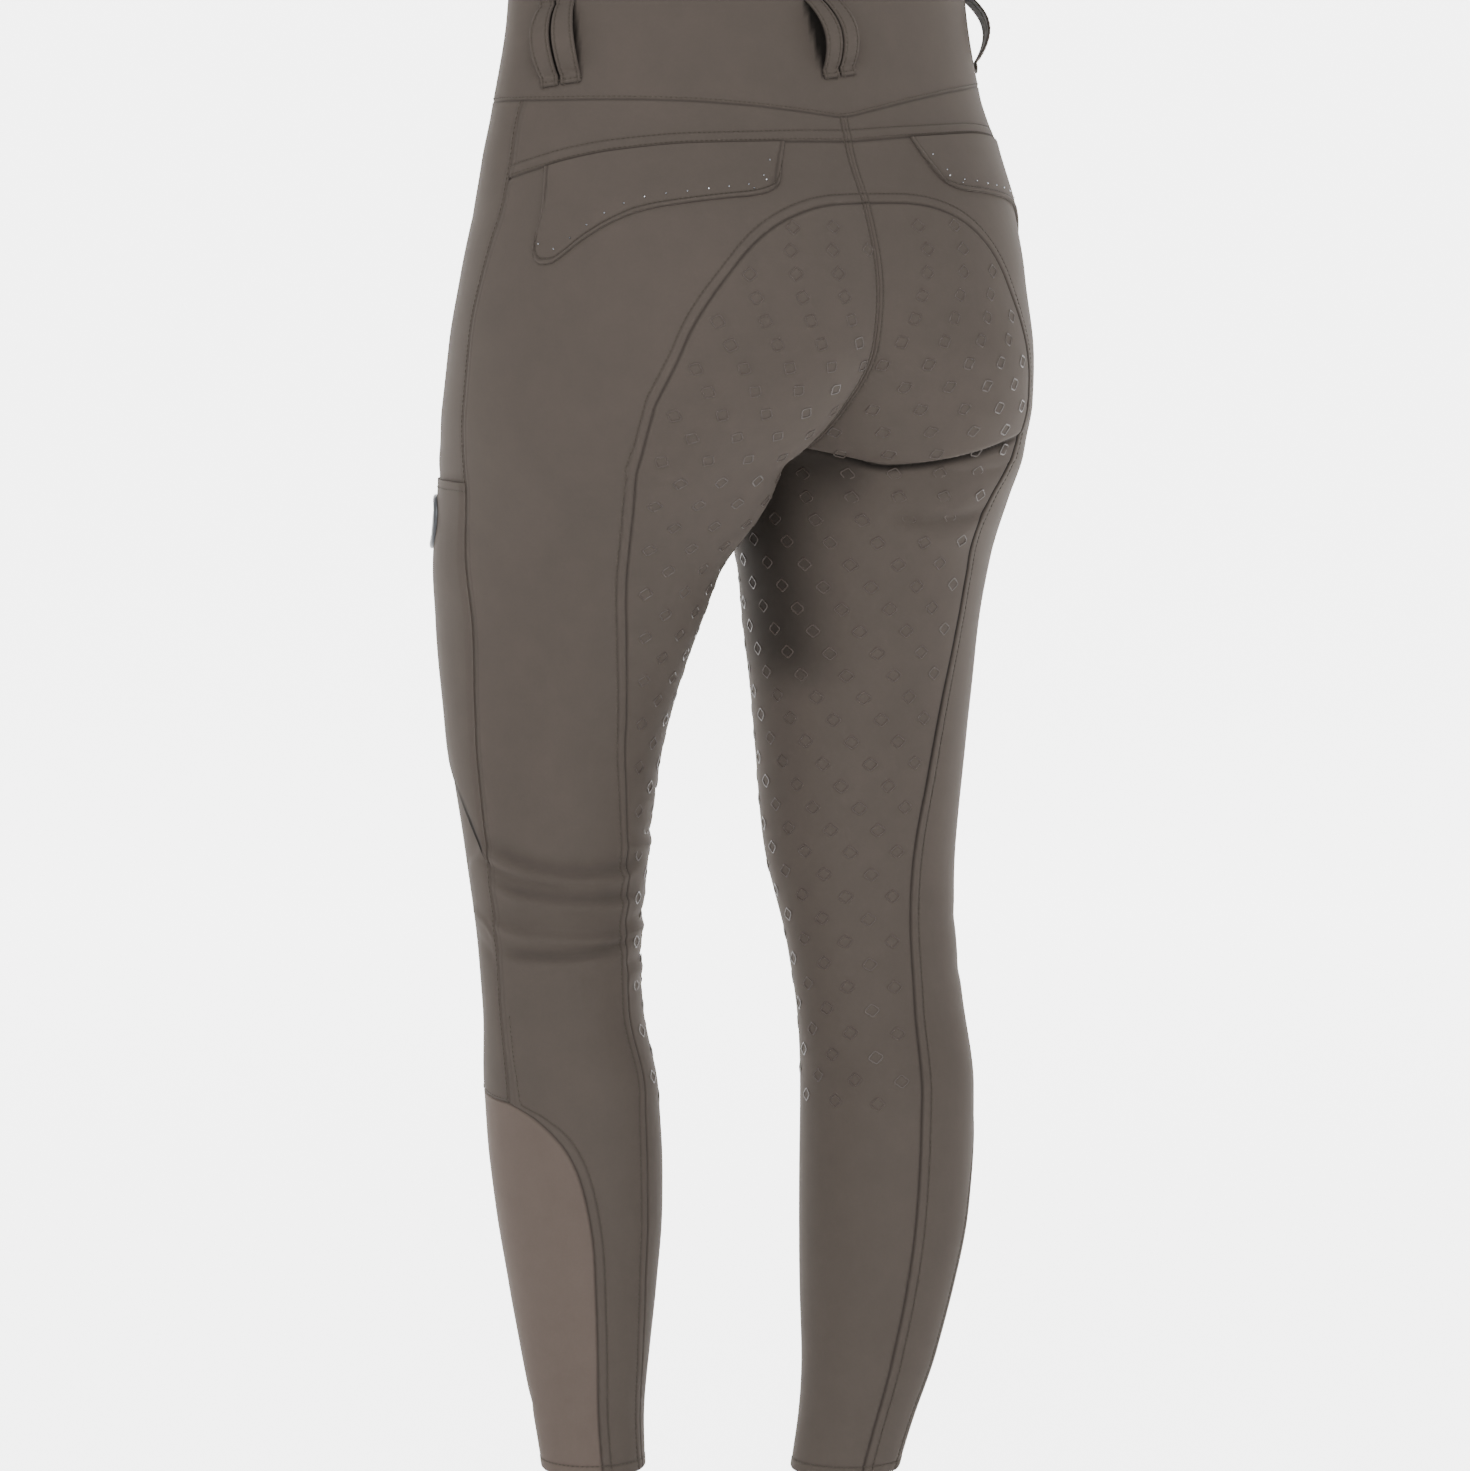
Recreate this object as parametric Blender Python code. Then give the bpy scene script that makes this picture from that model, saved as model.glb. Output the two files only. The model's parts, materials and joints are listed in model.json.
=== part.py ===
"""Full-seat riding breeches, a women's 38, cut and sewn from a stretch technical jersey.

Metres, +Z up. The front faces -Y and the wearer's left is +X. The origin is the centre of the
waist, half-way up the waistband. The breeches keep the shape that they have when worn: the right
leg straight, the left one a little forward and bent.

Each half of the garment is one surface, read at an angle and a height. The angle runs round the
half from the inner side: 0 is the inner side, 90 the back, 180 the outer side and 270 the front.
Above the crotch both halves end at the middle plane, which makes the centre-back and centre-front
seams. Seams are curves in angle and height, and each panel fills the field between its seams.
"""

import math
from typing import NamedTuple

import bmesh
import bpy
import numpy as np

MM = 0.001
LEFT, RIGHT = 1, -1


class Section(NamedTuple):
    """One level of the left half of the figure, in millimetres."""

    height: float
    outer: float  # x of the widest place
    back_lobe: float  # x of the centre of the back arc
    front_lobe: float  # x of the centre of the front arc
    back: float  # depth of the back arc
    front: float  # depth of the front arc
    skew: float  # how far the front leans outwards and the back inwards


FIGURE = (
    Section(24, 165, 0, 0, 87, 89, 0),
    Section(0, 167, 0, 0, 89, 91, 0),
    Section(-52, 176, 2, 0, 98, 101, 0),
    Section(-85, 183, 30, 8, 110, 104, 0),
    Section(-120, 186, 42, 18, 130, 114, 0),
    Section(-160, 190, 42, 30, 141, 119, 0),
    Section(-200, 193, 55, 44, 143, 121, 0),
    Section(-240, 193, 77, 66, 132, 117, 0),
    Section(-262, 191, 87, 82, 121, 111, 0),
    Section(-277, 189, 94.5, 94.5, 113, 106, 0),
    Section(-300, 186, 95, 95, 102, 95, 4),
    Section(-340, 180, 94.7, 94.7, 87, 81, 9),
    Section(-375, 172, 93, 93, 80, 78, 7),
    Section(-425, 165, 92, 92, 69, 68, 2),
    Section(-460, 159.5, 91, 91, 64, 64, -1),
    Section(-520, 151, 90, 90, 58, 57, -4),
    Section(-585, 143, 88.5, 88.5, 50, 50, -3),
    Section(-615, 141.5, 88, 88, 50, 49, -3),
    Section(-670, 139, 86, 86, 61, 55, 0),
    Section(-700, 138, 85, 85, 61, 55, 0),
    Section(-745, 134.5, 83.2, 83.2, 59, 53, -1),
    Section(-795, 127.5, 81.2, 81.2, 52, 48, -2),
    Section(-835, 121.5, 80.2, 80.2, 45, 42, -2),
    Section(-880, 115.5, 79.2, 79.2, 36, 36, -2),
    Section(-912, 112.5, 78, 78, 33, 33, -2),
)


class Pose(NamedTuple):
    """How far one level of a leg is carried from the figure, in millimetres and degrees."""

    height: float
    aside: float  # towards the outer side
    behind: float  # towards the back
    turn: float  # toe turned outwards
    down: float = 0  # lower, where the leg stands straight


STANCE = {
    LEFT: (
        Pose(-120, 0, 0, 0),
        Pose(-277, 0, -22, 0),
        Pose(-340, 0, -45, 0),
        Pose(-425, 0, -67, 0),
        Pose(-460, 1, -71, 0),
        Pose(-585, 3, -68, -2),
        Pose(-670, 4, -61, -3),
        Pose(-745, 4, -57, -4),
        Pose(-835, 4, -54, -6),
        Pose(-912, 4, -47, -7),
    ),
    RIGHT: (
        Pose(-120, 0, 0, 0),
        Pose(-277, 0, 2, 0),
        Pose(-375, 0, 4, 0),
        Pose(-460, -3, 11, 2),
        Pose(-520, -5, 14, 3),
        Pose(-585, -5, 29, 3),
        Pose(-670, -6, 46, 2, 1),
        Pose(-745, -8, 49, 3, 3),
        Pose(-835, -10, 42, 4, 6),
        Pose(-912, -12, 24, 5, 9),
    ),
}

CROTCH_HEIGHT = -277
HELD_TO_THE_MIDDLE = 90  # this near to the middle plane a half stays with its twin
FREE_BELOW = 70  # this far under the crotch a leg moves as a whole
MIDDLE_GAP = 0.15  # from the middle plane to each half
INSEAM_ANGLE = -50  # the inner seam lies this far before the inner side
INSEAM_RUN = 90  # height over which the inner seam swings there
HIP_TILT = 0.035  # how far the left hip drops, and the right one rises, for each mm aside
TILT_ENDS = (-60, -150)  # the tilt fades out between these heights


def smooth_columns(table, heights):
    """The table's columns at these heights, on monotone cubics through its rows."""
    rows = np.array(table, float)
    depths = -rows[:, 0]
    steps = np.diff(depths)[:, None]
    slopes = np.diff(rows[:, 1:], axis=0) / steps
    bends = np.zeros_like(rows[:, 1:])
    before, after = slopes[:-1], slopes[1:]
    same_way = before * after > 0
    total = np.where(same_way, before + after, 1)
    bends[1:-1] = np.where(same_way, 2 * before * after / total, 0)
    bends[0], bends[-1] = slopes[0], slopes[-1]
    wanted = np.clip(-np.asarray(heights, float), depths[0], depths[-1])
    row = np.clip(np.searchsorted(depths, wanted, side="right") - 1, 0, len(steps) - 1)
    step = steps[row]
    t = ((wanted - depths[row])[..., None]) / step
    return (
        (1 + 2 * t) * (1 - t) ** 2 * rows[row, 1:]
        + t * (1 - t) ** 2 * step * bends[row]
        + t**2 * (3 - 2 * t) * rows[row + 1, 1:]
        + t**2 * (t - 1) * step * bends[row + 1]
    )


def ease(value):
    """0 below 0, 1 above 1, and a smooth step between."""
    t = np.clip(value, 0, 1)
    return t * t * (3 - 2 * t)


def edge_angles(heights):
    """The angles, in degrees, at which a half begins behind and ends before."""
    outer, back_lobe, front_lobe = np.moveaxis(smooth_columns(FIGURE, heights), -1, 0)[:3]
    back = np.degrees(np.arccos(np.clip((back_lobe - MIDDLE_GAP) / (outer - back_lobe), -1, 1)))
    front = np.degrees(np.arccos(np.clip((front_lobe - MIDDLE_GAP) / (outer - front_lobe), -1, 1)))
    below = CROTCH_HEIGHT - np.asarray(heights, float)
    seam = INSEAM_ANGLE * ease(below / INSEAM_RUN)
    return np.where(below > 0, seam, back), np.where(below > 0, 360 + seam, 360 - front)


def surface(side, angles, heights):
    """Points of one half of the outer surface, in millimetres."""
    angles, heights = np.broadcast_arrays(np.asarray(angles, float), np.asarray(heights, float))
    columns = smooth_columns(FIGURE, heights)
    outer, back_lobe, front_lobe, back, front, skew = np.moveaxis(columns, -1, 0)
    turns = np.radians(angles)
    behind = np.sin(turns) >= 0
    lobe = np.where(behind, back_lobe, front_lobe)
    x = lobe - (outer - lobe) * np.cos(turns) - skew * np.sin(turns)
    y = np.where(behind, back, front) * np.sin(turns)
    aside, carried, turn, down = np.moveaxis(smooth_columns(STANCE[side], heights), -1, 0)
    free = ease((CROTCH_HEIGHT - heights) / FREE_BELOW)
    share = free + (1 - free) * ease(x / HELD_TO_THE_MIDDLE)
    turned = np.radians(turn)
    away = x - lobe
    x_turned = lobe + away * np.cos(turned) + y * np.sin(turned)
    y_turned = y * np.cos(turned) - away * np.sin(turned)
    x_placed = x_turned + aside * share
    y_placed = y_turned + carried * share
    tilted = 1 - ease((TILT_ENDS[0] - heights) / (TILT_ENDS[0] - TILT_ENDS[1]))
    z_placed = heights - down - HIP_TILT * side * x_placed * tilted
    return np.stack([side * x_placed, y_placed, z_placed], -1)


# ---------------------------------------------------------------------------------------------
# Folds: soft troughs and ridges of the cloth, laid over the surface.


class Fold(NamedTuple):
    """A trough or a ridge between two places of one half, in degrees and millimetres."""

    side: int
    from_angle: float
    from_height: float
    to_angle: float
    to_height: float
    rise: float  # outwards; a trough is below 0
    reach: float  # half the width


FOLDS = (
    # under the seat, where the standing leg folds it
    Fold(RIGHT, 30, -267, 66, -276, -4.5, 8),
    Fold(RIGHT, 66, -276, 112, -262, -4.5, 8),
    Fold(RIGHT, 70, -292, 104, -284, 1.5, 9),
    # behind the bent knee
    Fold(LEFT, 82, -526, 158, -523, -2.5, 8),
    Fold(LEFT, 78, -548, 166, -538, -3.5, 8),
    Fold(LEFT, 78, -574, 162, -566, -3.0, 9),
    Fold(LEFT, 76, -561, 164, -553, 1.5, 8),
)
ARC = 1.15  # millimetres round a leg for each degree


def fold_rise(side, angles, heights):
    """How far the folds of one half lift its surface."""
    rise = np.zeros(np.shape(heights))
    for fold in FOLDS:
        if fold.side != side:
            continue
        start = np.array([fold.from_angle * ARC, fold.from_height])
        run = np.array([fold.to_angle * ARC, fold.to_height]) - start
        length = np.hypot(*run)
        along_unit = run / length
        across_unit = np.array([-along_unit[1], along_unit[0]])
        offset = np.stack([angles * ARC, heights], -1) - start
        along, across = offset @ along_unit / length, offset @ across_unit
        ends = ease(along / 0.3) * ease((1 - along) / 0.3)
        inside = ease((along + 0.12) / 0.3) * ease((1.12 - along) / 0.3)
        rise += fold.rise * np.exp(-((across / fold.reach) ** 2)) * np.maximum(ends, inside)
    return rise


# ---------------------------------------------------------------------------------------------
# Seams: rows of (share, height). The share runs over a half from its back edge, 0, to its front
# edge, 1; both are the centre seams above the crotch and the inner seam below it.


def shares_at(angles, heights):
    """The shares of these angles."""
    back, front = edge_angles(heights)
    return (np.asarray(angles, float) - back) / (front - back)


def angles_at(shares, heights):
    """The angles of these shares."""
    back, front = edge_angles(heights)
    return back + (front - back) * np.asarray(shares, float)


def levels(top, bottom, count):
    """Heights evenly spaced from top to bottom."""
    return np.linspace(top, bottom, count + 1)


def levels_along(share, top, bottom, count):
    """Heights evenly spaced along the line at this share, closer together near the crotch."""
    fine = np.linspace(top, bottom, FINE_STEPS + 1)
    line = surface(LEFT, angles_at(share, fine), fine)
    steps = np.linalg.norm(np.diff(line, axis=0), axis=-1)
    middles = (fine[1:] + fine[:-1]) / 2
    steps *= 1 + CROWDING * np.exp(-(((middles - CROTCH_HEIGHT) / CROWD_REACH) ** 2))
    passed = np.concatenate([[0], np.cumsum(steps)])
    return np.interp(np.linspace(0, passed[-1], count + 1), passed, fine)


def joined(*runs):
    """Runs of heights as one, each starting where the one before ends."""
    return np.concatenate([runs[0]] + [run[1:] for run in runs[1:]])


CROWDING = 1.2  # how much closer the rows are at the crotch
CROWD_REACH = 30
FINE_STEPS = 400

WAIST_BACK = -62  # the waistband comes to a point at the centre back
WAIST_FRONT = -48
YOKE_BACK = -77
WAIST_TOP = 24
SEAT_TOP = -114  # where the seat panels reach the centre back
SEAT_MIDDLE = -190  # on the centre back, across from the seat panels' outermost place
SEAM_SHARE = 0.45  # about where the thigh's seams lie
DOME_HEIGHT = -235  # where the rounded top of the seat panel ends
KNEE_TOP, KNEE_BOTTOM = -464, -600
CALF_BACK, CALF_SIDE, CALF_INNER = -668, -674, -664
HEM = -912

HIP_ROWS, THIGH_ROWS, KNEE_ROWS, SHIN_ROWS, CALF_ROWS = 12, 15, 12, 4, 8
CROTCH_ROWS = 9  # of the thigh rows, those above the crotch
YOKE_ROWS = 2
FRONT_ROWS = YOKE_ROWS + CROTCH_ROWS

WAIST_SEAM = ((89, -62), (100, -57.5), (112, -53), (128, -49), (148, -47), (176, -46.5))
YOKE_SEAM = ((82, -77), (100, -75.5), (122, -75), (141, -78), (154, -83), (165, -89), (176, -95))
DOME_SEAM = (  # angle, height: from beside the centre back outwards and down
    (84, -114.5),
    (90, -116),
    (95, -119),
    (99.5, -123),
    (103.5, -128),
    (107.5, -135),
    (111, -143),
    (114.5, -153.5),
    (117.5, -164),
    (120, -176),
    (122, -190),
    (123.2, -205),
    (123.8, -220),
)
SEAT_SEAM = {  # height, angle; the bent leg and the straight one draw it differently
    LEFT: (
        (-235, 124),
        (-255, 122),
        (-275, 119),
        (-304, 115.5),
        (-323, 113),
        (-342, 110.5),
        (-364, 107),
        (-387, 101.5),
        (-420, 92),
        (-467, 82),
        (-501, 76),
        (-524, 72.5),
        (-560, 69.5),
        (-600, 69),
        (-646, 72),
        (-680, 76.5),
        (-720, 78.5),
        (-766, 78),
        (-818, 73.5),
        (-864, 66.5),
        (-912, 61),
    ),
    RIGHT: (
        (-235, 123),
        (-257, 119),
        (-270, 115),
        (-282, 111.5),
        (-300, 108),
        (-316, 107),
        (-330, 108),
        (-345, 109.5),
        (-364, 109),
        (-388, 106.5),
        (-424, 99.5),
        (-451, 94),
        (-476, 89.5),
        (-513, 82.5),
        (-551, 78.5),
        (-613, 73.5),
        (-658, 69.5),
        (-705, 68),
        (-754, 66),
        (-800, 65),
        (-845, 63),
        (-912, 63),
    ),
}
SIDE_SEAM = (  # height, angle
    (-46, 174),
    (-95, 176),
    (-140, 181),
    (-184, 185),
    (-257, 186),
    (-309, 182),
    (-355, 177),
    (-420, 172),
    (-467, 170.5),
    (-560, 171.5),
    (-674, 175),
)
CALF_SEAM = (  # angle, height: from the side seam to the hem
    (175, -674),
    (160, -680),
    (148, -689),
    (138, -701),
    (131, -717),
    (126, -740),
    (123, -770),
    (122, -814),
    (121, -860),
    (120, -912),
)


def through(rows, places):
    """The second column of the rows at these values of the first, on monotone cubics."""
    ordered = sorted(rows, reverse=True)
    return smooth_columns(ordered, places)[..., 0]


def seam(angles, heights):
    """A seam's rows of (share, height)."""
    heights = np.broadcast_to(np.asarray(heights, float), np.shape(angles))
    return np.stack([shares_at(angles, heights), heights], -1)


def edge(share, heights):
    """A centre or inner seam's rows of (share, height)."""
    return np.stack([np.full(len(heights), float(share)), heights], -1)


def along_rows(rows, count):
    """count + 1 places evenly spaced along a curve through rows of (angle, height)."""
    knots = np.array(rows, float)
    steps = np.hypot(np.diff(knots[:, 0]) * ARC, np.diff(knots[:, 1]))
    passed = np.concatenate([[0], np.cumsum(steps)])
    table = np.column_stack([-passed, knots])
    return smooth_columns(table, -np.linspace(0, passed[-1], count + 1))


def seams(side):
    """Every seam of one half, as rows of (share, height) that its panels share."""
    thigh = levels_along(SEAM_SHARE, DOME_HEIGHT, KNEE_TOP, THIGH_ROWS)
    knee = levels(KNEE_TOP, KNEE_BOTTOM, KNEE_ROWS)
    shin, calf_back = levels(KNEE_BOTTOM, CALF_BACK, SHIN_ROWS), levels(CALF_BACK, HEM, CALF_ROWS)
    seat = joined(thigh, knee, shin, calf_back)
    inner_thigh = levels_along(0, CROTCH_HEIGHT, KNEE_TOP, THIGH_ROWS - CROTCH_ROWS)
    inner_leg = joined(inner_thigh, knee, levels(KNEE_BOTTOM, CALF_INNER, SHIN_ROWS))
    inner_calf = levels(CALF_INNER, HEM, CALF_ROWS)
    to_crotch = levels_along(0, SEAT_MIDDLE, CROTCH_HEIGHT, CROTCH_ROWS)
    middle = joined(levels(SEAT_TOP, SEAT_MIDDLE, HIP_ROWS), to_crotch, inner_leg, inner_calf)
    front = joined(levels_along(1, WAIST_FRONT, CROTCH_HEIGHT, FRONT_ROWS), inner_leg)
    side_thigh = levels(-95, KNEE_TOP, THIGH_ROWS)
    outer = joined(side_thigh, knee, levels(KNEE_BOTTOM, CALF_SIDE, SHIN_ROWS))
    yoke_angles = np.linspace(edge_angles(YOKE_BACK)[0], YOKE_SEAM[-1][0], HIP_ROWS + 1)
    waist_angles = np.linspace(edge_angles(WAIST_BACK)[0], SIDE_SEAM[0][1], HIP_ROWS + 1)
    yoke = seam(yoke_angles, through(YOKE_SEAM, yoke_angles))
    waist = seam(waist_angles, through(WAIST_SEAM, waist_angles))
    calf = along_rows(CALF_SEAM, CALF_ROWS)
    seat_angles = through(SEAT_SEAM[side], seat)
    dome_ends = (float(edge_angles(SEAT_TOP)[0]), SEAT_TOP), (seat_angles[0], DOME_HEIGHT)
    dome = along_rows((dome_ends[0], *DOME_SEAM, dome_ends[1]), HIP_ROWS)
    return {
        "seat": np.concatenate([seam(dome[:, 0], dome[:, 1]), seam(seat_angles, seat)[1:]]),
        "middle": edge(0, middle),
        "front": edge(1, front),
        "side": seam(through(SIDE_SEAM, outer), outer),
        "side_waist": field(waist[-1:], yoke[-1:], YOKE_ROWS)[0],
        "yoke": yoke,
        "waist": waist,
        "calf": seam(calf[:, 0], calf[:, 1]),
        "inner_calf": edge(1, inner_calf),
    }


# ---------------------------------------------------------------------------------------------
# Cloth walls: a grid of places on the surface, given an outer and an inner face.

SEAM_GAP = 0.3
CLOTH = 1.4
BAND_CLOTH = 2.4
CALF_CLOTH = 1.2
FLAP_CLOTH = 1.6
STRAP_CLOTH = 1.5
CLEAR = 0.8  # under a piece that lies on a panel
FLY_CLEAR = 1.7  # the front panel is hollow there, and its facets stand proud
NUDGE = 0.05  # step for the surface's slopes
FRONT_ANGLE = 270
CALM_POWER = 5


def field(first, last, columns):
    """A grid of (share, height), each row running straight from one seam to another."""
    t = np.linspace(0, 1, columns + 1)[None, :, None]
    return first[:, None] * (1 - t) + last[:, None] * t


def front_field(first, last, columns):
    """A front panel's grid. Only its innermost columns swing in under the crotch."""
    t = np.linspace(0, 1, columns + 1)[None, :]
    heights = first[:, 1:] * (1 - t) + last[:, 1:] * t
    side_angles = angles_at(first[:, 0], first[:, 1])[:, None]
    edge_places = angles_at(last[:, 0], last[:, 1])[:, None]
    swing = ease((WAIST_FRONT - last[:, 1:]) / (WAIST_FRONT - CROTCH_HEIGHT + INSEAM_RUN))
    calm = FRONT_ANGLE + (360 + INSEAM_ANGLE - FRONT_ANGLE) * swing
    angles = side_angles * (1 - t) + calm * t + (edge_places - calm) * t**CALM_POWER
    return np.stack([shares_at(angles, heights), heights], -1)


def normals(side, angles, heights):
    """Unit outward normals of the surface."""
    round_it = surface(side, angles + NUDGE, heights) - surface(side, angles - NUDGE, heights)
    up_it = surface(side, angles, heights + NUDGE) - surface(side, angles, heights - NUDGE)
    across = side * np.cross(up_it, round_it)
    return across / np.linalg.norm(across, axis=-1, keepdims=True)


def unit(vectors):
    """The vectors at length 1, and nil ones left nil."""
    lengths = np.linalg.norm(vectors, axis=-1, keepdims=True)
    return vectors / np.where(lengths > 1e-9, lengths, 1)


def drawn_in(points, gap):
    """How far each point of a grid moves so that its border lies half a gap inside its seams."""
    shift = np.zeros_like(points)
    tips = []
    for axis in (0, 1):
        rows = np.swapaxes(points, 0, axis)
        moves = np.swapaxes(shift, 0, axis)
        for end, inner in ((0, 1), (-1, -2)):
            border, inwards = rows[end], rows[inner] - rows[end]
            if np.ptp(border, axis=0).max() < NUDGE:
                tips.append((moves, end, unit(inwards.mean(axis=0))))
                continue
            along = unit(np.gradient(border, axis=0))
            inwards = inwards - (inwards * along).sum(-1, keepdims=True) * along
            moves[end] += unit(inwards) * gap / 2
    for moves, end, inwards in tips:
        moves[end] = inwards * gap
    return shift


def cell_faces(rows, columns, closed):
    """The faces of a closed wall over a grid: outer, inner, then its borders."""
    count = rows * columns
    faces = []
    steps = columns if closed else columns - 1
    for i in range(rows - 1):
        for j in range(steps):
            k = (j + 1) % columns
            a, b, c, d = i * columns + j, i * columns + k, (i + 1) * columns + k, (i + 1) * columns + j
            faces += [(a, b, c, d), (count + d, count + c, count + b, count + a)]
    for i, turned in ((0, False), (rows - 1, True)):
        for j in range(steps):
            a, b = i * columns + j, i * columns + (j + 1) % columns
            faces.append((a, b, count + b, count + a) if turned else (b, a, count + a, count + b))
    if not closed:
        for i in range(rows - 1):
            for j, turned in ((0, True), (columns - 1, False)):
                a, b = i * columns + j, (i + 1) * columns + j
                faces.append((a, b, count + b, count + a) if turned else (b, a, count + a, count + b))
    return faces


def make_node(name, outer, inner, material, closed=False):
    """A named object from the outer and inner faces of a wall, in millimetres."""
    rows, columns = outer.shape[:2]
    corners = np.concatenate([outer.reshape(-1, 3), inner.reshape(-1, 3)]) * MM
    shape = bmesh.new()
    points = [shape.verts.new(corner) for corner in corners]
    for face in cell_faces(rows, columns, closed):
        shape.faces.new([points[i] for i in face])
    bmesh.ops.remove_doubles(shape, verts=shape.verts, dist=1e-6)
    if shape.calc_volume(signed=True) < 0:
        bmesh.ops.reverse_faces(shape, faces=shape.faces)
    mesh = bpy.data.meshes.new(name)
    shape.to_mesh(mesh)
    shape.free()
    mesh.shade_smooth()
    mesh.set_sharp_from_angle(angle=math.radians(40))
    mesh.materials.append(material)
    node = bpy.data.objects.new(name, mesh)
    bpy.context.scene.collection.objects.link(node)
    return node


def wall(name, side, grid, thickness, material, lift=0.0, gap=SEAM_GAP, closed=False):
    """A cloth wall over a grid of (share, height); it stands on the surface where it is lifted."""
    shares, heights = grid[..., 0], grid[..., 1]
    angles = angles_at(shares, heights)
    base, out = surface(side, angles, heights), normals(side, angles, heights)
    face = base + out * fold_rise(side, angles, heights)[..., None]
    face = face + drawn_in(face, gap) if gap else face
    lift = np.asarray(lift, float)[..., None]
    on_top = np.any(lift > 0)
    outer = face + out * (lift + (thickness if on_top else 0))
    inner = face + out * (lift - (0 if on_top else thickness))
    return make_node(name, outer, inner, material, closed)


# ---------------------------------------------------------------------------------------------
# Finishes


def finish(name, colour, roughness):
    """A plain dyed cloth or rubber."""
    material = bpy.data.materials.new(name)
    material.use_nodes = True
    shader = material.node_tree.nodes["Principled BSDF"]
    shader.inputs["Base Color"].default_value = (*colour, 1)
    shader.inputs["Roughness"].default_value = roughness
    shader.inputs["Metallic"].default_value = 0
    return material


# ---------------------------------------------------------------------------------------------
# Pieces

SEAT_COLUMNS, BACK_COLUMNS, BAND_COLUMNS, FLAP_ROWS = 9, 6, 3, 3

FLAP_EDGE = (  # angle, height of the lower edge, from the inner corner outwards
    (99.5, -97),
    (100.5, -102.5),
    (103.5, -106.5),
    (108, -108.5),
    (114, -109.5),
    (122, -111.5),
    (131, -114.5),
    (138, -118.5),
    (143, -123.5),
    (148, -130.5),
    (153, -139),
    (156.5, -146),
    (159.5, -150),
    (162, -150.5),
    (164.3, -147),
    (165, -140),
)
FLAP_SLANT = 0.954  # the upper edge's run round the hip, as a share of the lower one's
UNDER_YOKE = 0.6  # from the yoke seam down to a flap

POCKET_TOP, POCKET_BOTTOM_SIDE, POCKET_BOTTOM_FRONT = -284, -524, -440
POCKET_FRONT_ANGLE = 248
POCKET_FROM_SEAM = 1.5  # degrees
POCKET_ROWS, POCKET_COLUMNS = 8, 7
POCKET_CLEAR = 1.4

FLY_TOP, FLY_BEND, FLY_END = -51, -165, -205
FLY_OUTER_SHARE, FLY_INNER_SHARE = 0.935, 0.997
FLY_ROWS = 8


class Disc(NamedTuple):
    """A round piece that lies on the cloth."""

    angle: float
    height: float
    profile: tuple  # radius, rise of the top


BADGE = Disc(219, -311, ((0, 1.5), (11.5, 1.5), (12.3, 2.1), (15.6, 2.1), (16.6, 1.7), (17, 1.1)))
BUTTON = Disc(266.5, -14, ((0, 1.8), (4.5, 1.8), (5.2, 2.6), (7.4, 2.6), (8.2, 2.1), (8.5, 1.2)))
DISC_SIDES = 20


class Loops(NamedTuple):
    """A pair of belt loops, side by side."""

    name: str
    side: int
    angle: float
    lean: float  # how far the upper ends lie towards the outer side, in millimetres


LOOPS = (
    Loops("loop_back", LEFT, 89, 13),
    Loops("loop_side_left", LEFT, 160, 8),
    Loops("loop_side_right", RIGHT, 160, 4),
    Loops("loop_front_left", LEFT, 232, 0),
    Loops("loop_front_right", RIGHT, 232, 0),
)
LOOP_BOTTOM, LOOP_TOP = -38, 15
LOOP_BOW = 8.5
LOOP_WIDTH = 12.5
LOOP_PITCH = 15.5  # between the middles of the two straps
LOOP_ROWS = 10
LOOP_FLAT = 0.1  # share of a strap that is sewn down at each end


def panels(side, word, lines, cloth, light_cloth):
    """The main cut pieces of one half."""
    back_outer = np.concatenate([lines["yoke"], lines["side"][1:], lines["calf"][1:]])
    back = field(lines["seat"], back_outer, BACK_COLUMNS)
    wall(f"back_{word}", side, back, CLOTH, cloth)
    seat = field(lines["middle"], lines["seat"], SEAT_COLUMNS)
    wall(f"seat_{word}", side, seat, CLOTH, cloth)
    yoke = field(lines["waist"], lines["yoke"], YOKE_ROWS)
    wall(f"yoke_{word}", side, yoke, CLOTH, cloth)
    front_side = np.concatenate([lines["side_waist"], lines["side"][1:]])
    front = front_field(front_side, lines["front"], HIP_ROWS)
    wall(f"front_{word}", side, front, CLOTH, cloth)
    calf = field(lines["calf"], lines["inner_calf"], HIP_ROWS)
    wall(f"calf_{word}", side, calf, CALF_CLOTH, light_cloth)


def waistband(lines, cloth):
    """One strip round the waist, its ends meeting at the centre front."""
    front_top = field(lines["side_waist"][:1], lines["front"][:1], HIP_ROWS)[0]
    half = np.concatenate([lines["waist"], front_top[1:]])
    faces = {}
    for side in (LEFT, RIGHT):
        top = half.copy()
        top[:, 1] = WAIST_TOP
        grid = field(top, half, BAND_COLUMNS)
        angles = angles_at(grid[..., 0], grid[..., 1])
        faces[side] = (
            surface(side, angles, grid[..., 1]),
            normals(side, angles, grid[..., 1]),
        )
    points, out = (np.concatenate([faces[RIGHT][k][:0:-1], faces[LEFT][k]]) for k in (0, 1))
    middle = len(half) - 1
    points[middle, :, 0] = 0
    out[middle, :, 0] = 0
    points = points + drawn_in(points, SEAM_GAP)
    make_node("waistband", points, points - unit(out) * BAND_CLOTH, cloth)


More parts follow.
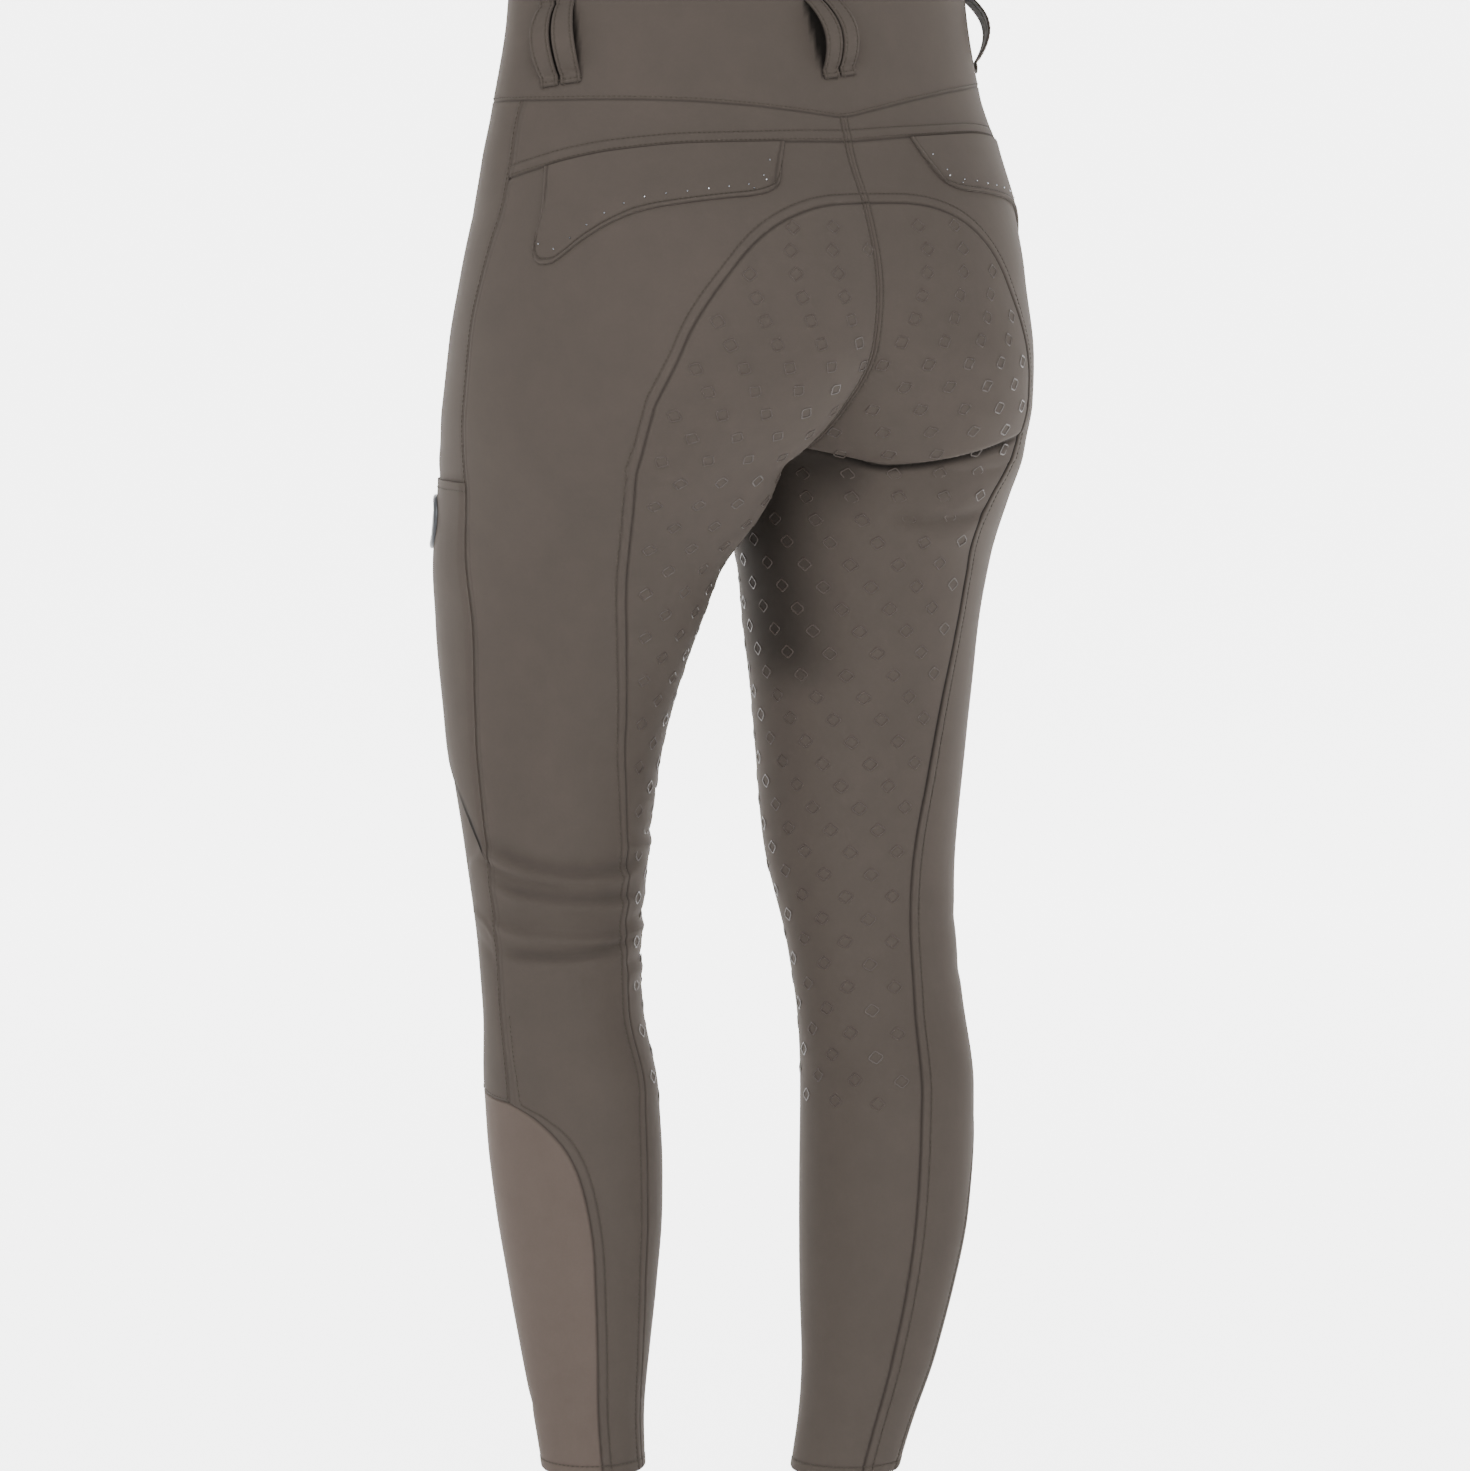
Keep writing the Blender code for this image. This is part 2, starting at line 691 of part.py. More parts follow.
def flap(side, word, cloth):
    """A curved pocket flap that hangs from the yoke seam."""
    edge_rows = np.array(FLAP_EDGE, float)
    angles = edge_rows[0, 0] + (edge_rows[:, 0] - edge_rows[0, 0]) * FLAP_SLANT
    top = seam(angles, through(YOKE_SEAM, angles) - UNDER_YOKE)
    grid = field(top, seam(edge_rows[:, 0], edge_rows[:, 1]), FLAP_ROWS)
    wall(f"flap_{word}", side, grid, FLAP_CLOTH, cloth, lift=CLEAR, gap=0)


def thigh_pocket(cloth):
    """The flat pocket on the left thigh, caught in the side seam and cut on a slant below."""
    rear_heights = np.linspace(POCKET_TOP, POCKET_BOTTOM_SIDE, POCKET_ROWS + 1)
    rear = seam(through(SIDE_SEAM, rear_heights) + POCKET_FROM_SEAM, rear_heights)
    front_heights = np.linspace(POCKET_TOP, POCKET_BOTTOM_FRONT, POCKET_ROWS + 1)
    before = seam(np.full(POCKET_ROWS + 1, float(POCKET_FRONT_ANGLE)), front_heights)
    grid = field(rear, before, POCKET_COLUMNS)
    wall("thigh_pocket", LEFT, grid, CLOTH, cloth, lift=POCKET_CLEAR, gap=0)


def fly(cloth):
    """The fly facing beside the centre front, rounded in at its foot."""
    heights = np.linspace(FLY_TOP, FLY_END, FLY_ROWS + 1)
    bend = np.clip((FLY_BEND - heights) / (FLY_BEND - FLY_END), 0, 1)
    width = (FLY_INNER_SHARE - FLY_OUTER_SHARE) * np.sqrt(1 - 0.96 * bend**2)
    outer = np.stack([FLY_INNER_SHARE - width, heights], -1)
    inner = edge(FLY_INNER_SHARE, heights)
    wall("fly", LEFT, field(outer, inner, 3), CLOTH, cloth, lift=FLY_CLEAR, gap=0)


def disc(name, side, place, lift, material):
    """A round piece bent to the cloth under it."""
    turns = np.arange(DISC_SIDES) * 2 * math.pi / DISC_SIDES
    radii, rises = np.array(place.profile, float).T
    middle = surface(side, place.angle, place.height)
    beside = surface(side, place.angle + 1, place.height)
    per_degree = np.linalg.norm(beside - middle)
    angles = place.angle + radii[:, None] * np.cos(turns) / per_degree
    heights = place.height + radii[:, None] * np.sin(turns)
    base, out = surface(side, angles, heights), normals(side, angles, heights)
    underside = base + out * lift
    make_node(name, underside + out * rises[:, None, None], underside, material, closed=True)


def belt_loops(pair, cloth):
    """Two narrow straps side by side, sewn down at both ends and bowed away between."""
    t = np.linspace(0, 1, LOOP_ROWS + 1)
    heights = (LOOP_BOTTOM + (LOOP_TOP - LOOP_BOTTOM) * t)[:, None]
    inside = np.clip((t - LOOP_FLAT) / (1 - 2 * LOOP_FLAT), 0, 1)
    bow = CLEAR + LOOP_BOW * np.sin(math.pi * inside) ** 0.8
    here = surface(pair.side, pair.angle, heights[0, 0])
    per_degree = np.linalg.norm(surface(pair.side, pair.angle + 1, heights[0, 0]) - here)
    for word, place in (("a", -LOOP_PITCH / 2), ("b", LOOP_PITCH / 2)):
        across = place + np.array([-LOOP_WIDTH / 2, LOOP_WIDTH / 2])
        angles = pair.angle + (across[None, :] + pair.lean * t[:, None]) / per_degree
        heights_here = np.broadcast_to(heights, angles.shape)
        base = surface(pair.side, angles, heights_here)
        out = normals(pair.side, angles, heights_here)
        under = base + out * bow[:, None, None]
        make_node(f"{pair.name}_{word}", under + out * STRAP_CLOTH, under, cloth)


def main():
    """Clear the scene and build every piece."""
    for thing in list(bpy.data.objects):
        bpy.data.objects.remove(thing)
    cloth = finish("stretch_jersey", (0.122, 0.098, 0.081), 0.8)
    light_cloth = finish("calf_knit", (0.195, 0.155, 0.135), 0.85)
    rubber = finish("badge_rubber", (0.08, 0.08, 0.085), 0.45)
    horn = finish("button_horn", (0.03, 0.026, 0.022), 0.35)
    waistband(seams(LEFT), cloth)
    for side, word in ((LEFT, "left"), (RIGHT, "right")):
        panels(side, word, seams(side), cloth, light_cloth)
        flap(side, word, cloth)
    thigh_pocket(cloth)
    fly(cloth)
    disc("badge", LEFT, BADGE, POCKET_CLEAR + CLOTH + CLEAR, rubber)
    disc("button", LEFT, BUTTON, CLEAR, horn)
    for pair in LOOPS:
        belt_loops(pair, cloth)


if __name__ == "__main__":
    main()
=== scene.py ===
"""Full-seat riding breeches, dressed: fine cloth shells, seams, stitching, grip print and trim.

The model is in metres, +Z up; the front faces -Y and the wearer's left is +X. Cloth is worked out
in millimetres on the same surface as its solids: each half of the breeches is read at an angle and
a height, with 0 the inner side, 90 the back, 180 the outer side and 270 the front.
"""

from __future__ import annotations

import json
import logging
import math
from dataclasses import dataclass, field
from enum import Enum
from typing import Any, NamedTuple, Sequence

import bmesh
import bpy
import numpy as np
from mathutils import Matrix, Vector

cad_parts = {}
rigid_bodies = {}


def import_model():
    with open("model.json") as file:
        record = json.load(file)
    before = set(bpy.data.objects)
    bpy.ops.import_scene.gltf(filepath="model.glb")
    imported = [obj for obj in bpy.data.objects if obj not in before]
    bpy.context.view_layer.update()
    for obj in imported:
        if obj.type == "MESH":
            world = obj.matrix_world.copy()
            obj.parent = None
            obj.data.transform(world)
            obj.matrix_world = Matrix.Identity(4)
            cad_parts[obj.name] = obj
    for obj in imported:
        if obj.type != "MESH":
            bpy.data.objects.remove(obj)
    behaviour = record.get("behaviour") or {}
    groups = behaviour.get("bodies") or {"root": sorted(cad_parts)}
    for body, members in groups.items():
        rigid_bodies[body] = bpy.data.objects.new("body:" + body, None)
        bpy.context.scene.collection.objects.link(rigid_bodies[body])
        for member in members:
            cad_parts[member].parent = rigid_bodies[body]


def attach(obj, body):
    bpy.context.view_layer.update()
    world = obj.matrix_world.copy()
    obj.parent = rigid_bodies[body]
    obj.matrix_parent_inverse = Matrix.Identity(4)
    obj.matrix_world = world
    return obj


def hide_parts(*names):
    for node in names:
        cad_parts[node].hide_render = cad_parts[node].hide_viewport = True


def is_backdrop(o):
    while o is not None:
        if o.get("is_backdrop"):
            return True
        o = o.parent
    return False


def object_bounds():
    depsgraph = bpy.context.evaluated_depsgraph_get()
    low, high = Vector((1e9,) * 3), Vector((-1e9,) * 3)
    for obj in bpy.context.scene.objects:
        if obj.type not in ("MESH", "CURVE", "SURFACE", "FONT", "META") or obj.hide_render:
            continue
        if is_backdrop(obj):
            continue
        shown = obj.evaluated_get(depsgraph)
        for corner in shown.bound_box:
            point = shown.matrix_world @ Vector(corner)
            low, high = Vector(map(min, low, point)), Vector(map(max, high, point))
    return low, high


Array = np.ndarray
MM = 0.001
NIL = 1e-9
BODY = "root"
JERSEY_SLOT = "stretch_jersey"
log = logging.getLogger("breeches")


class Side(Enum):
    """The two halves of the breeches, by the wearer's own left and right."""

    LEFT = 1
    RIGHT = -1

    @property
    def word(self) -> str:
        """The side's name, as node names end."""
        return self.name.lower()


# ----------------------------------------
# The surface that the cloth follows.


class Section(NamedTuple):
    """One level of the left half of the figure, in millimetres."""

    height: float
    outer: float
    back_lobe: float
    front_lobe: float
    back: float
    front: float
    skew: float


FIGURE = (
    Section(24, 165, 0, 0, 87, 89, 0),
    Section(0, 167, 0, 0, 89, 91, 0),
    Section(-52, 176, 2, 0, 98, 101, 0),
    Section(-85, 183, 30, 8, 110, 104, 0),
    Section(-120, 186, 42, 18, 130, 114, 0),
    Section(-160, 190, 42, 30, 141, 119, 0),
    Section(-200, 193, 55, 44, 143, 121, 0),
    Section(-240, 193, 77, 66, 132, 117, 0),
    Section(-262, 191, 87, 82, 121, 111, 0),
    Section(-277, 189, 94.5, 94.5, 113, 106, 0),
    Section(-300, 186, 95, 95, 102, 95, 4),
    Section(-340, 180, 94.7, 94.7, 87, 81, 9),
    Section(-375, 172, 93, 93, 80, 78, 7),
    Section(-425, 165, 92, 92, 69, 68, 2),
    Section(-460, 159.5, 91, 91, 64, 64, -1),
    Section(-520, 151, 90, 90, 58, 57, -4),
    Section(-585, 143, 88.5, 88.5, 50, 50, -3),
    Section(-615, 141.5, 88, 88, 50, 49, -3),
    Section(-670, 139, 86, 86, 61, 55, 0),
    Section(-700, 138, 85, 85, 61, 55, 0),
    Section(-745, 134.5, 83.2, 83.2, 59, 53, -1),
    Section(-795, 127.5, 81.2, 81.2, 52, 48, -2),
    Section(-835, 121.5, 80.2, 80.2, 45, 42, -2),
    Section(-880, 115.5, 79.2, 79.2, 36, 36, -2),
    Section(-912, 112.5, 78, 78, 33, 33, -2),
)


class Pose(NamedTuple):
    """How far one level of a leg is carried from the figure, in millimetres and degrees."""

    height: float
    aside: float
    behind: float
    turn: float
    down: float = 0


STANCE = {
    Side.LEFT: (
        Pose(-120, 0, 0, 0),
        Pose(-277, 0, -22, 0),
        Pose(-340, 0, -45, 0),
        Pose(-425, 0, -67, 0),
        Pose(-460, 1, -71, 0),
        Pose(-585, 3, -68, -2),
        Pose(-670, 4, -61, -3),
        Pose(-745, 4, -57, -4),
        Pose(-835, 4, -54, -6),
        Pose(-912, 4, -47, -7),
    ),
    Side.RIGHT: (
        Pose(-120, 0, 0, 0),
        Pose(-277, 0, 2, 0),
        Pose(-375, 0, 4, 0),
        Pose(-460, -3, 11, 2),
        Pose(-520, -5, 14, 3),
        Pose(-585, -5, 29, 3),
        Pose(-670, -6, 46, 2, 1),
        Pose(-745, -8, 49, 3, 3),
        Pose(-835, -10, 42, 4, 6),
        Pose(-912, -12, 24, 5, 9),
    ),
}


def smooth_columns(table: Sequence[Sequence[float]], places: Array) -> Array:
    """Read a table between its rows, on monotone cubics.

    Args:
        table: rows whose first column falls from row to row.
        places: values of the first column.

    Returns:
        The other columns at those values.
    """
    rows = np.array(table, float)
    depths = -rows[:, 0]
    steps = np.diff(depths)[:, None]
    slopes = np.diff(rows[:, 1:], axis=0) / steps
    bends = np.zeros_like(rows[:, 1:])
    before, after = slopes[:-1], slopes[1:]
    same_way = before * after > 0
    sums = np.where(same_way, before + after, 1)
    bends[1:-1] = np.where(same_way, 2 * before * after / sums, 0)
    bends[0], bends[-1] = slopes[0], slopes[-1]
    wanted = np.clip(-np.asarray(places, float), depths[0], depths[-1])
    row = np.clip(np.searchsorted(depths, wanted, side="right") - 1, 0, len(steps) - 1)
    step = steps[row]
    t = ((wanted - depths[row])[..., None]) / step
    return (
        (1 + 2 * t) * (1 - t) ** 2 * rows[row, 1:]
        + t * (1 - t) ** 2 * step * bends[row]
        + t**2 * (3 - 2 * t) * rows[row + 1, 1:]
        + t**2 * (t - 1) * step * bends[row + 1]
    )


def through(rows: Sequence[Sequence[float]], places: Array) -> Array:
    """The second column of these rows at values of the first, on monotone cubics."""
    return smooth_columns(sorted(rows, reverse=True), places)[..., 0]


def ease(value: Array) -> Array:
    """0 below 0, 1 above 1, and a smooth step between."""
    t = np.clip(value, 0, 1)
    return t * t * (3 - 2 * t)


def unit(vectors: Array) -> Array:
    """The vectors at length 1, and nil ones left nil."""
    lengths = np.linalg.norm(vectors, axis=-1, keepdims=True)
    return vectors / np.where(lengths > NIL, lengths, 1)


@dataclass(frozen=True)
class Form:
    """The outer surface of the worn breeches, in millimetres."""

    crotch: float = -277
    held_to_the_middle: float = 90
    free_below: float = 70
    inseam_angle: float = -50
    inseam_run: float = 90
    hip_tilt: float = 0.035
    tilt_top: float = -60
    tilt_foot: float = -150
    nudge: float = 0.05

    def edges(self, heights: Array) -> tuple[Array, Array]:
        """The angles at which a half begins behind and ends before, at these heights.

        Args:
            heights: millimetres up.

        Returns:
            Two sets of angles.
        """
        outer, back_lobe, front_lobe = np.moveaxis(smooth_columns(FIGURE, heights), -1, 0)[:3]
        back = np.degrees(np.arccos(np.clip(back_lobe / (outer - back_lobe), -1, 1)))
        front = np.degrees(np.arccos(np.clip(front_lobe / (outer - front_lobe), -1, 1)))
        below = self.crotch - np.asarray(heights, float)
        seam = self.inseam_angle * ease(below / self.inseam_run)
        return np.where(below > 0, seam, back), np.where(below > 0, 360 + seam, 360 - front)

    def angles(self, shares: Array, heights: Array) -> Array:
        """Angles from shares of the way round a half, from 0 at its back edge to 1 before."""
        back, front = self.edges(heights)
        return back + (front - back) * np.asarray(shares, float)

    def shares(self, angles: Array, heights: Array) -> Array:
        """The shares of these angles."""
        back, front = self.edges(heights)
        return (np.asarray(angles, float) - back) / (front - back)

    def points(self, side: Side, angles: Array, heights: Array) -> Array:
        """Points of one half of the surface.

        Args:
            side: the half.
            angles: degrees round it.
            heights: millimetres up.

        Returns:
            The points, with x, y and z last.
        """
        angles, heights = np.asarray(angles, float), np.asarray(heights, float)
        angles, heights = np.broadcast_arrays(angles, heights)
        columns = smooth_columns(FIGURE, heights)
        outer, back_lobe, front_lobe, back, front, skew = np.moveaxis(columns, -1, 0)
        turns = np.radians(angles)
        behind = np.sin(turns) >= 0
        lobe = np.where(behind, back_lobe, front_lobe)
        x = lobe - (outer - lobe) * np.cos(turns) - skew * np.sin(turns)
        y = np.where(behind, back, front) * np.sin(turns)
        aside, carried, turn, down = np.moveaxis(smooth_columns(STANCE[side], heights), -1, 0)
        free = ease((self.crotch - heights) / self.free_below)
        share = free + (1 - free) * ease(x / self.held_to_the_middle)
        turned = np.radians(turn)
        away = x - lobe
        x_placed = lobe + away * np.cos(turned) + y * np.sin(turned) + aside * share
        y_placed = y * np.cos(turned) - away * np.sin(turned) + carried * share
        tilted = 1 - ease((self.tilt_top - heights) / (self.tilt_top - self.tilt_foot))
        z_placed = heights - down - self.hip_tilt * side.value * x_placed * tilted
        return np.stack([side.value * x_placed, y_placed, z_placed], -1)

    def normals(self, side: Side, angles: Array, heights: Array) -> Array:
        """Unit outward normals of the surface.

        Args:
            side: the half.
            angles: degrees round it.
            heights: millimetres up.

        Returns:
            The normals, with x, y and z last.
        """
        step = self.nudge
        after, before = (self.points(side, angles + way, heights) for way in (step, -step))
        over, under = (self.points(side, angles, heights + way) for way in (step, -step))
        return unit(side.value * np.cross(over - under, after - before))

    def per_degree(self, side: Side, angle: float, height: float) -> float:
        """Millimetres round one half for each degree, at a place."""
        ends = self.points(side, np.array([angle, angle + 1]), np.full(2, float(height)))
        return float(np.linalg.norm(ends[1] - ends[0]))


FORM = Form()


# ----------------------------------------
# Creases: soft troughs and ridges of the cloth.


class Run(Enum):
    """Which way a crease runs."""

    ROUND = 0  # round the leg
    DOWN = 1  # along the leg


class Fold(NamedTuple):
    """One trough or ridge. Its path is rows of (angle, height)."""

    side: Side
    run: Run
    path: tuple[tuple[float, float], ...]
    rise: float  # outwards, in millimetres; a trough is below 0
    above: float  # reach above the path, or past it round the leg
    below: float  # reach on the other side
    dark: float = 0.0  # share of its light that its bottom loses


LEFT, RIGHT = Side.LEFT, Side.RIGHT
ROUND, DOWN = Run.ROUND, Run.DOWN

FOLDS = (
    # the deep one under the seat, where the standing leg folds it: a soft hollow below, a sharp
    # line with painted shade in and below it, and the fullness that hangs over it
    Fold(RIGHT, ROUND, ((8, -255), (37, -270), (56, -277), (67, -276), (84, -272),
         (128, -255)), -3.6, 1.8, 24, 0.06),
    Fold(RIGHT, ROUND, ((8, -256), (37, -271), (56, -278), (67, -277), (84, -273),
         (130, -255)), -2.2, 1.3, 2.0, 0.85),
    Fold(RIGHT, ROUND, ((-30, -254), (14, -262), (40, -274), (58, -280)), -0.4, 2.0, 20, 0.5),
    Fold(RIGHT, ROUND, ((18, -246), (42, -259), (66, -264), (90, -258), (122, -244)), 0.5, 22, 9),
    Fold(RIGHT, ROUND, ((74, -281), (92, -282), (114, -279)), -0.8, 3, 4),
    Fold(RIGHT, ROUND, ((58, -309), (80, -312), (92, -311), (112, -307)), -2.3, 6, 3.2, 0.12),
    Fold(RIGHT, ROUND, ((62, -320), (84, -322), (110, -317)), 0.9, 4, 8),
    # little light comes in between the thighs
    Fold(RIGHT, DOWN, ((4, -258), (6, -300), (10, -345), (14, -430)), 0.0, 30, 44, 0.62),
    # behind the bent knee, from the seat seam past the side seam: each sinks slowly, turns up
    # and stands out a little, with painted shade in its trough
    Fold(LEFT, ROUND, ((50, -523), (72, -526.5), (103, -528.5), (124, -526.5), (146, -521.5),
         (164, -514), (182, -507)), -2.0, 8, 3.0, 0.2),
    Fold(LEFT, ROUND, ((56, -530), (84, -533), (116, -532.5), (140, -528), (162, -520.5),
         (182, -513)), 1.3, 2.0, 4.2),
    Fold(LEFT, ROUND, ((112, -537.5), (134, -535), (154, -530.5), (168, -526),
         (184, -520)), -1.5, 3.2, 2.2, 0.08),
    Fold(LEFT, ROUND, ((54, -544.5), (84, -545.5), (118, -544), (140, -541.5), (152, -539),
         (168, -533.5), (183, -528)), -1.8, 6.5, 2.7, 0.2),
    Fold(LEFT, ROUND, ((58, -549), (100, -550), (126, -548.5), (150, -544),
         (176, -535.5)), 1.3, 1.9, 4.2),
    Fold(LEFT, ROUND, ((56, -567), (100, -566), (142, -563), (168, -558),
         (184, -553)), -1.8, 12, 3.2, 0.08),
    Fold(LEFT, ROUND, ((62, -571.5), (102, -571.5), (142, -568), (168, -563),
         (184, -558)), 1.9, 2.4, 4.0),
    Fold(LEFT, ROUND, ((52, -571), (82, -577), (98, -579.5), (120, -580.5), (150, -580),
         (178, -577)), -2.1, 5.5, 2.6, 0.22),
    Fold(LEFT, ROUND, ((66, -581.5), (98, -584.5), (124, -585.5), (150, -584.5),
         (174, -582)), 1.1, 2.2, 5),
    Fold(LEFT, ROUND, ((74, -595), (90, -597), (110, -595)), -0.9, 6, 9),
    # drawn in beside the seat seam on the inner side of that knee
    Fold(LEFT, ROUND, ((26, -468), (52, -470), (80, -467)), -0.8, 3, 3),
    Fold(LEFT, ROUND, ((20, -483), (48, -481), (78, -484)), -0.8, 3, 3),
    Fold(LEFT, ROUND, ((22, -495), (52, -494), (78, -496)), -0.9, 3, 3),
    Fold(LEFT, ROUND, ((14, -507), (48, -507), (80, -505)), -1.2, 3.5, 2.6),
    Fold(LEFT, ROUND, ((14, -515), (48, -515), (80, -512)), 1.2, 3, 3.5),
    Fold(LEFT, ROUND, ((14, -560), (46, -561), (78, -562)), -1.4, 5, 2.6),
    Fold(LEFT, ROUND, ((14, -568.5), (46, -568.5), (76, -569)), 1.2, 2.4, 3.5),
    Fold(LEFT, ROUND, ((20, -588), (48, -587), (76, -588)), -1.1, 4, 2.4),
    Fold(LEFT, ROUND, ((20, -595), (46, -594), (76, -596)), 0.8, 2.4, 4),
    Fold(LEFT, ROUND, ((24, -606), (46, -603), (74, -607)), -0.7, 4, 4),
    # on the outer side of it, past the side seam
    Fold(LEFT, ROUND, ((176, -514), (194, -522), (212, -536)), -0.9, 6, 3),
    Fold(LEFT, ROUND, ((168, -573), (176, -568), (184, -561), (198, -557),
         (210, -555)), 0.9, 2.4, 4),
    Fold(LEFT, ROUND, ((172, -584), (190, -575), (212, -569)), -0.7, 4, 6),
    Fold(LEFT, ROUND, ((-30, -298), (4, -300), (34, -295)), -1.1, 4, 5),
    # at the front of the hips, where the left thigh is carried forward
    Fold(LEFT, ROUND, ((214, -250), (250, -268), (286, -274), (322, -268)), -2.6, 7, 4),
    Fold(LEFT, ROUND, ((222, -236), (256, -252), (300, -256)), 1.2, 8, 7),
    Fold(LEFT, ROUND, ((244, -296), (282, -292), (318, -284)), -1.5, 5, 3),
    Fold(LEFT, ROUND, ((252, -222), (280, -236), (302, -246)), -1.2, 6, 4),
    Fold(RIGHT, ROUND, ((236, -238), (268, -254), (304, -260)), -1.3, 6, 4),
    Fold(RIGHT, ROUND, ((244, -290), (280, -286), (312, -278)), -1.0, 5, 3),
    Fold(RIGHT, ROUND, ((258, -216), (284, -232), (298, -243)), -0.8, 5, 4),
    # behind the straight knee, and round the knees' fronts
    Fold(RIGHT, ROUND, ((80, -566), (120, -569), (164, -562)), -0.7, 8, 6),
    Fold(RIGHT, ROUND, ((76, -598), (116, -602), (168, -594)), -0.8, 8, 6),
    Fold(RIGHT, ROUND, ((206, -588), (252, -597), (300, -590)), -0.9, 7, 5),
    Fold(RIGHT, ROUND, ((226, -506), (262, -500), (298, -507)), -0.7, 5, 6),
    Fold(LEFT, ROUND, ((220, -608), (258, -616), (304, -607)), -0.9, 6, 4),
    Fold(LEFT, ROUND, ((236, -496), (270, -489), (300, -497)), -0.6, 5, 6),
    # slack at the ankles
    Fold(LEFT, ROUND, ((196, -868), (250, -876), (306, -866)), -0.8, 6, 4),
    Fold(RIGHT, ROUND, ((188, -872), (246, -880), (300, -870)), -0.8, 6, 4),
    # long soft drags down the outer thigh and the seat
    Fold(LEFT, DOWN, ((146, -250), (142, -330), (139, -430)), 0.7, 14, 16),
    Fold(RIGHT, DOWN, ((142, -260), (138, -360), (133, -450)), 0.6, 14, 18),
)


@dataclass(frozen=True)
class Creases:
    """All the folds, laid over the surface together."""

    folds: tuple[Fold, ...] = FOLDS
    arc: float = 1.15  # millimetres round a leg for each degree
    tail: float = 0.24  # share of a path over which it dies out at each end

    def read(self, side: Side, angles: Array, heights: Array) -> tuple[Array, Array]:
        """Read the folds of one half.

        Args:
            side: the half.
            angles: degrees round it.
            heights: millimetres up.

        Returns:
            How far they lift the surface at these places, and the share of its light that it loses.
        """
        total = np.zeros(np.broadcast(angles, heights).shape)
        open_share = np.ones_like(total)
        for fold in self.folds:
            if fold.side != side:
                continue
            if fold.run is Run.ROUND:
                rows = fold.path
                along, across = angles, heights
                scale = 1.0
            else:
                rows = tuple((height, angle) for angle, height in fold.path)
                along, across = heights, angles
                scale = self.arc
            ends = sorted((rows[0][0], rows[-1][0]))
            offset = (across - through(rows, along)) * scale
            passed = (along - ends[0]) / (ends[1] - ends[0])
            fade = ease(passed / self.tail) * ease((1 - passed) / self.tail)
            reach = np.where(offset > 0, fold.above, fold.below)
            part = fade * np.exp(-((offset / reach) ** 2))
            total = total + fold.rise * part
            open_share = open_share * (1 - fold.dark * part)
        return total, 1 - open_share


CREASES = Creases()


# ----------------------------------------
# Seams: how the cloth is worked beside each one, and where they run.


@dataclass(frozen=True)
class Edge:
    """The relief of cloth beside a seam or an edge, in millimetres, and its painted shade."""

    groove: float = 0.0  # depth of the line itself
    reach: float = 0.8  # half its width
    band: float = 0.0  # width of the raised band beside it
    rise: float = 0.0  # of the band
    line: float = 0.0  # depth of the stitched line that ends the band
    dark: float = 0.42  # share of its light that the bottom of the groove loses

    @property
    def row(self) -> tuple[float, ...]:
        """The six sizes, to be spread along a seam."""
        return (self.groove, self.reach, self.band, self.rise, self.line, self.dark)


GROOVE, REACH, DARK = 0, 1, 5  # places of those sizes in a row


LIP_FROM, LIP_RUN = 0.2, 1.2  # where the raised band starts to rise, and over how far
LIP_BACK, LIP_FALL = 0.4, 1.1  # how far before the band's end it starts to fall, and over how far
STITCHED_REACH = 0.6  # half the width of the stitched line
DEEP_GROOVE, DEEP_LINE = 0.55, 0.75  # depths from which a groove or a stitched line is darkest
LEAST_REACH = 0.6  # of a groove's shadow


def relief(rows: Array, away: Array) -> Array:
    """The height of cloth over its surface.

    Args:
        rows: sizes of Edge, last axis 6, that broadcast against the distances.
        away: distances from the seam.

    Returns:
        Millimetres outwards.
    """
    groove, reach, band, rise, line, _ = np.moveaxis(rows, -1, 0)
    fall = ease((away - band + LIP_BACK) / LIP_FALL)
    lip = rise * ease((away - LIP_FROM) / LIP_RUN) * (1 - fall)
    stitched = -line * np.exp(-(((away - band) / STITCHED_REACH) ** 2))
    return lip + stitched - groove * np.exp(-((away / reach) ** 2))


def shadow(rows: Array, away: Array) -> Array:
    """How much of its light cloth loses in the line of a seam and in the stitched line beside it.

    Args:
        rows: sizes of Edge, last axis 6, that broadcast against the distances.
        away: distances from the seam.

    Returns:
        The share lost.
    """
    groove, reach, band, _, line, dark = np.moveaxis(rows, -1, 0)
    wide = np.maximum(reach, LEAST_REACH)
    sunk = np.minimum(groove / DEEP_GROOVE, 1) * np.exp(-((away / wide) ** 2))
    stitched = np.exp(-(((away - band) / STITCHED_REACH) ** 2))
    return dark * np.maximum(sunk, np.minimum(line / DEEP_LINE, 1) * stitched)


class Work(Enum):
    """How an edge is worked."""

    NONE = Edge()
    PLAIN = Edge(groove=0.55, reach=0.9, band=2.0, rise=0.1)
    FINE = Edge(groove=0.4, reach=0.75, band=2.0, rise=0.1, dark=0.5)
    SOFT = Edge(groove=0.3, reach=1.7, band=3.4, rise=0.12, line=0.2, dark=0.3)
    BANDED = Edge(groove=0.6, reach=0.9, band=5.9, rise=0.35, line=0.4)
    STITCHED = Edge(groove=0.55, reach=0.85, band=7.1, rise=0.3, line=0.3, dark=0.36)
    FELLED = Edge(groove=0.12, reach=0.6, band=2.6, rise=0.6, line=0.6)
    HEMMED = Edge(groove=0.4, reach=0.5, band=7.1, rise=0.3, line=0.35)
    PIPED = Edge(groove=0.4, reach=0.5, band=2.6, rise=0.55, line=0.6)
    TURNED = Edge(groove=0.4, reach=0.4, band=2.0, rise=0.12, line=0.3)

    def rows(self, count: int = 1) -> Array:
        """The sizes of this work, once for each of so many rows."""
        return np.tile(np.array(self.value.row), (count, 1))


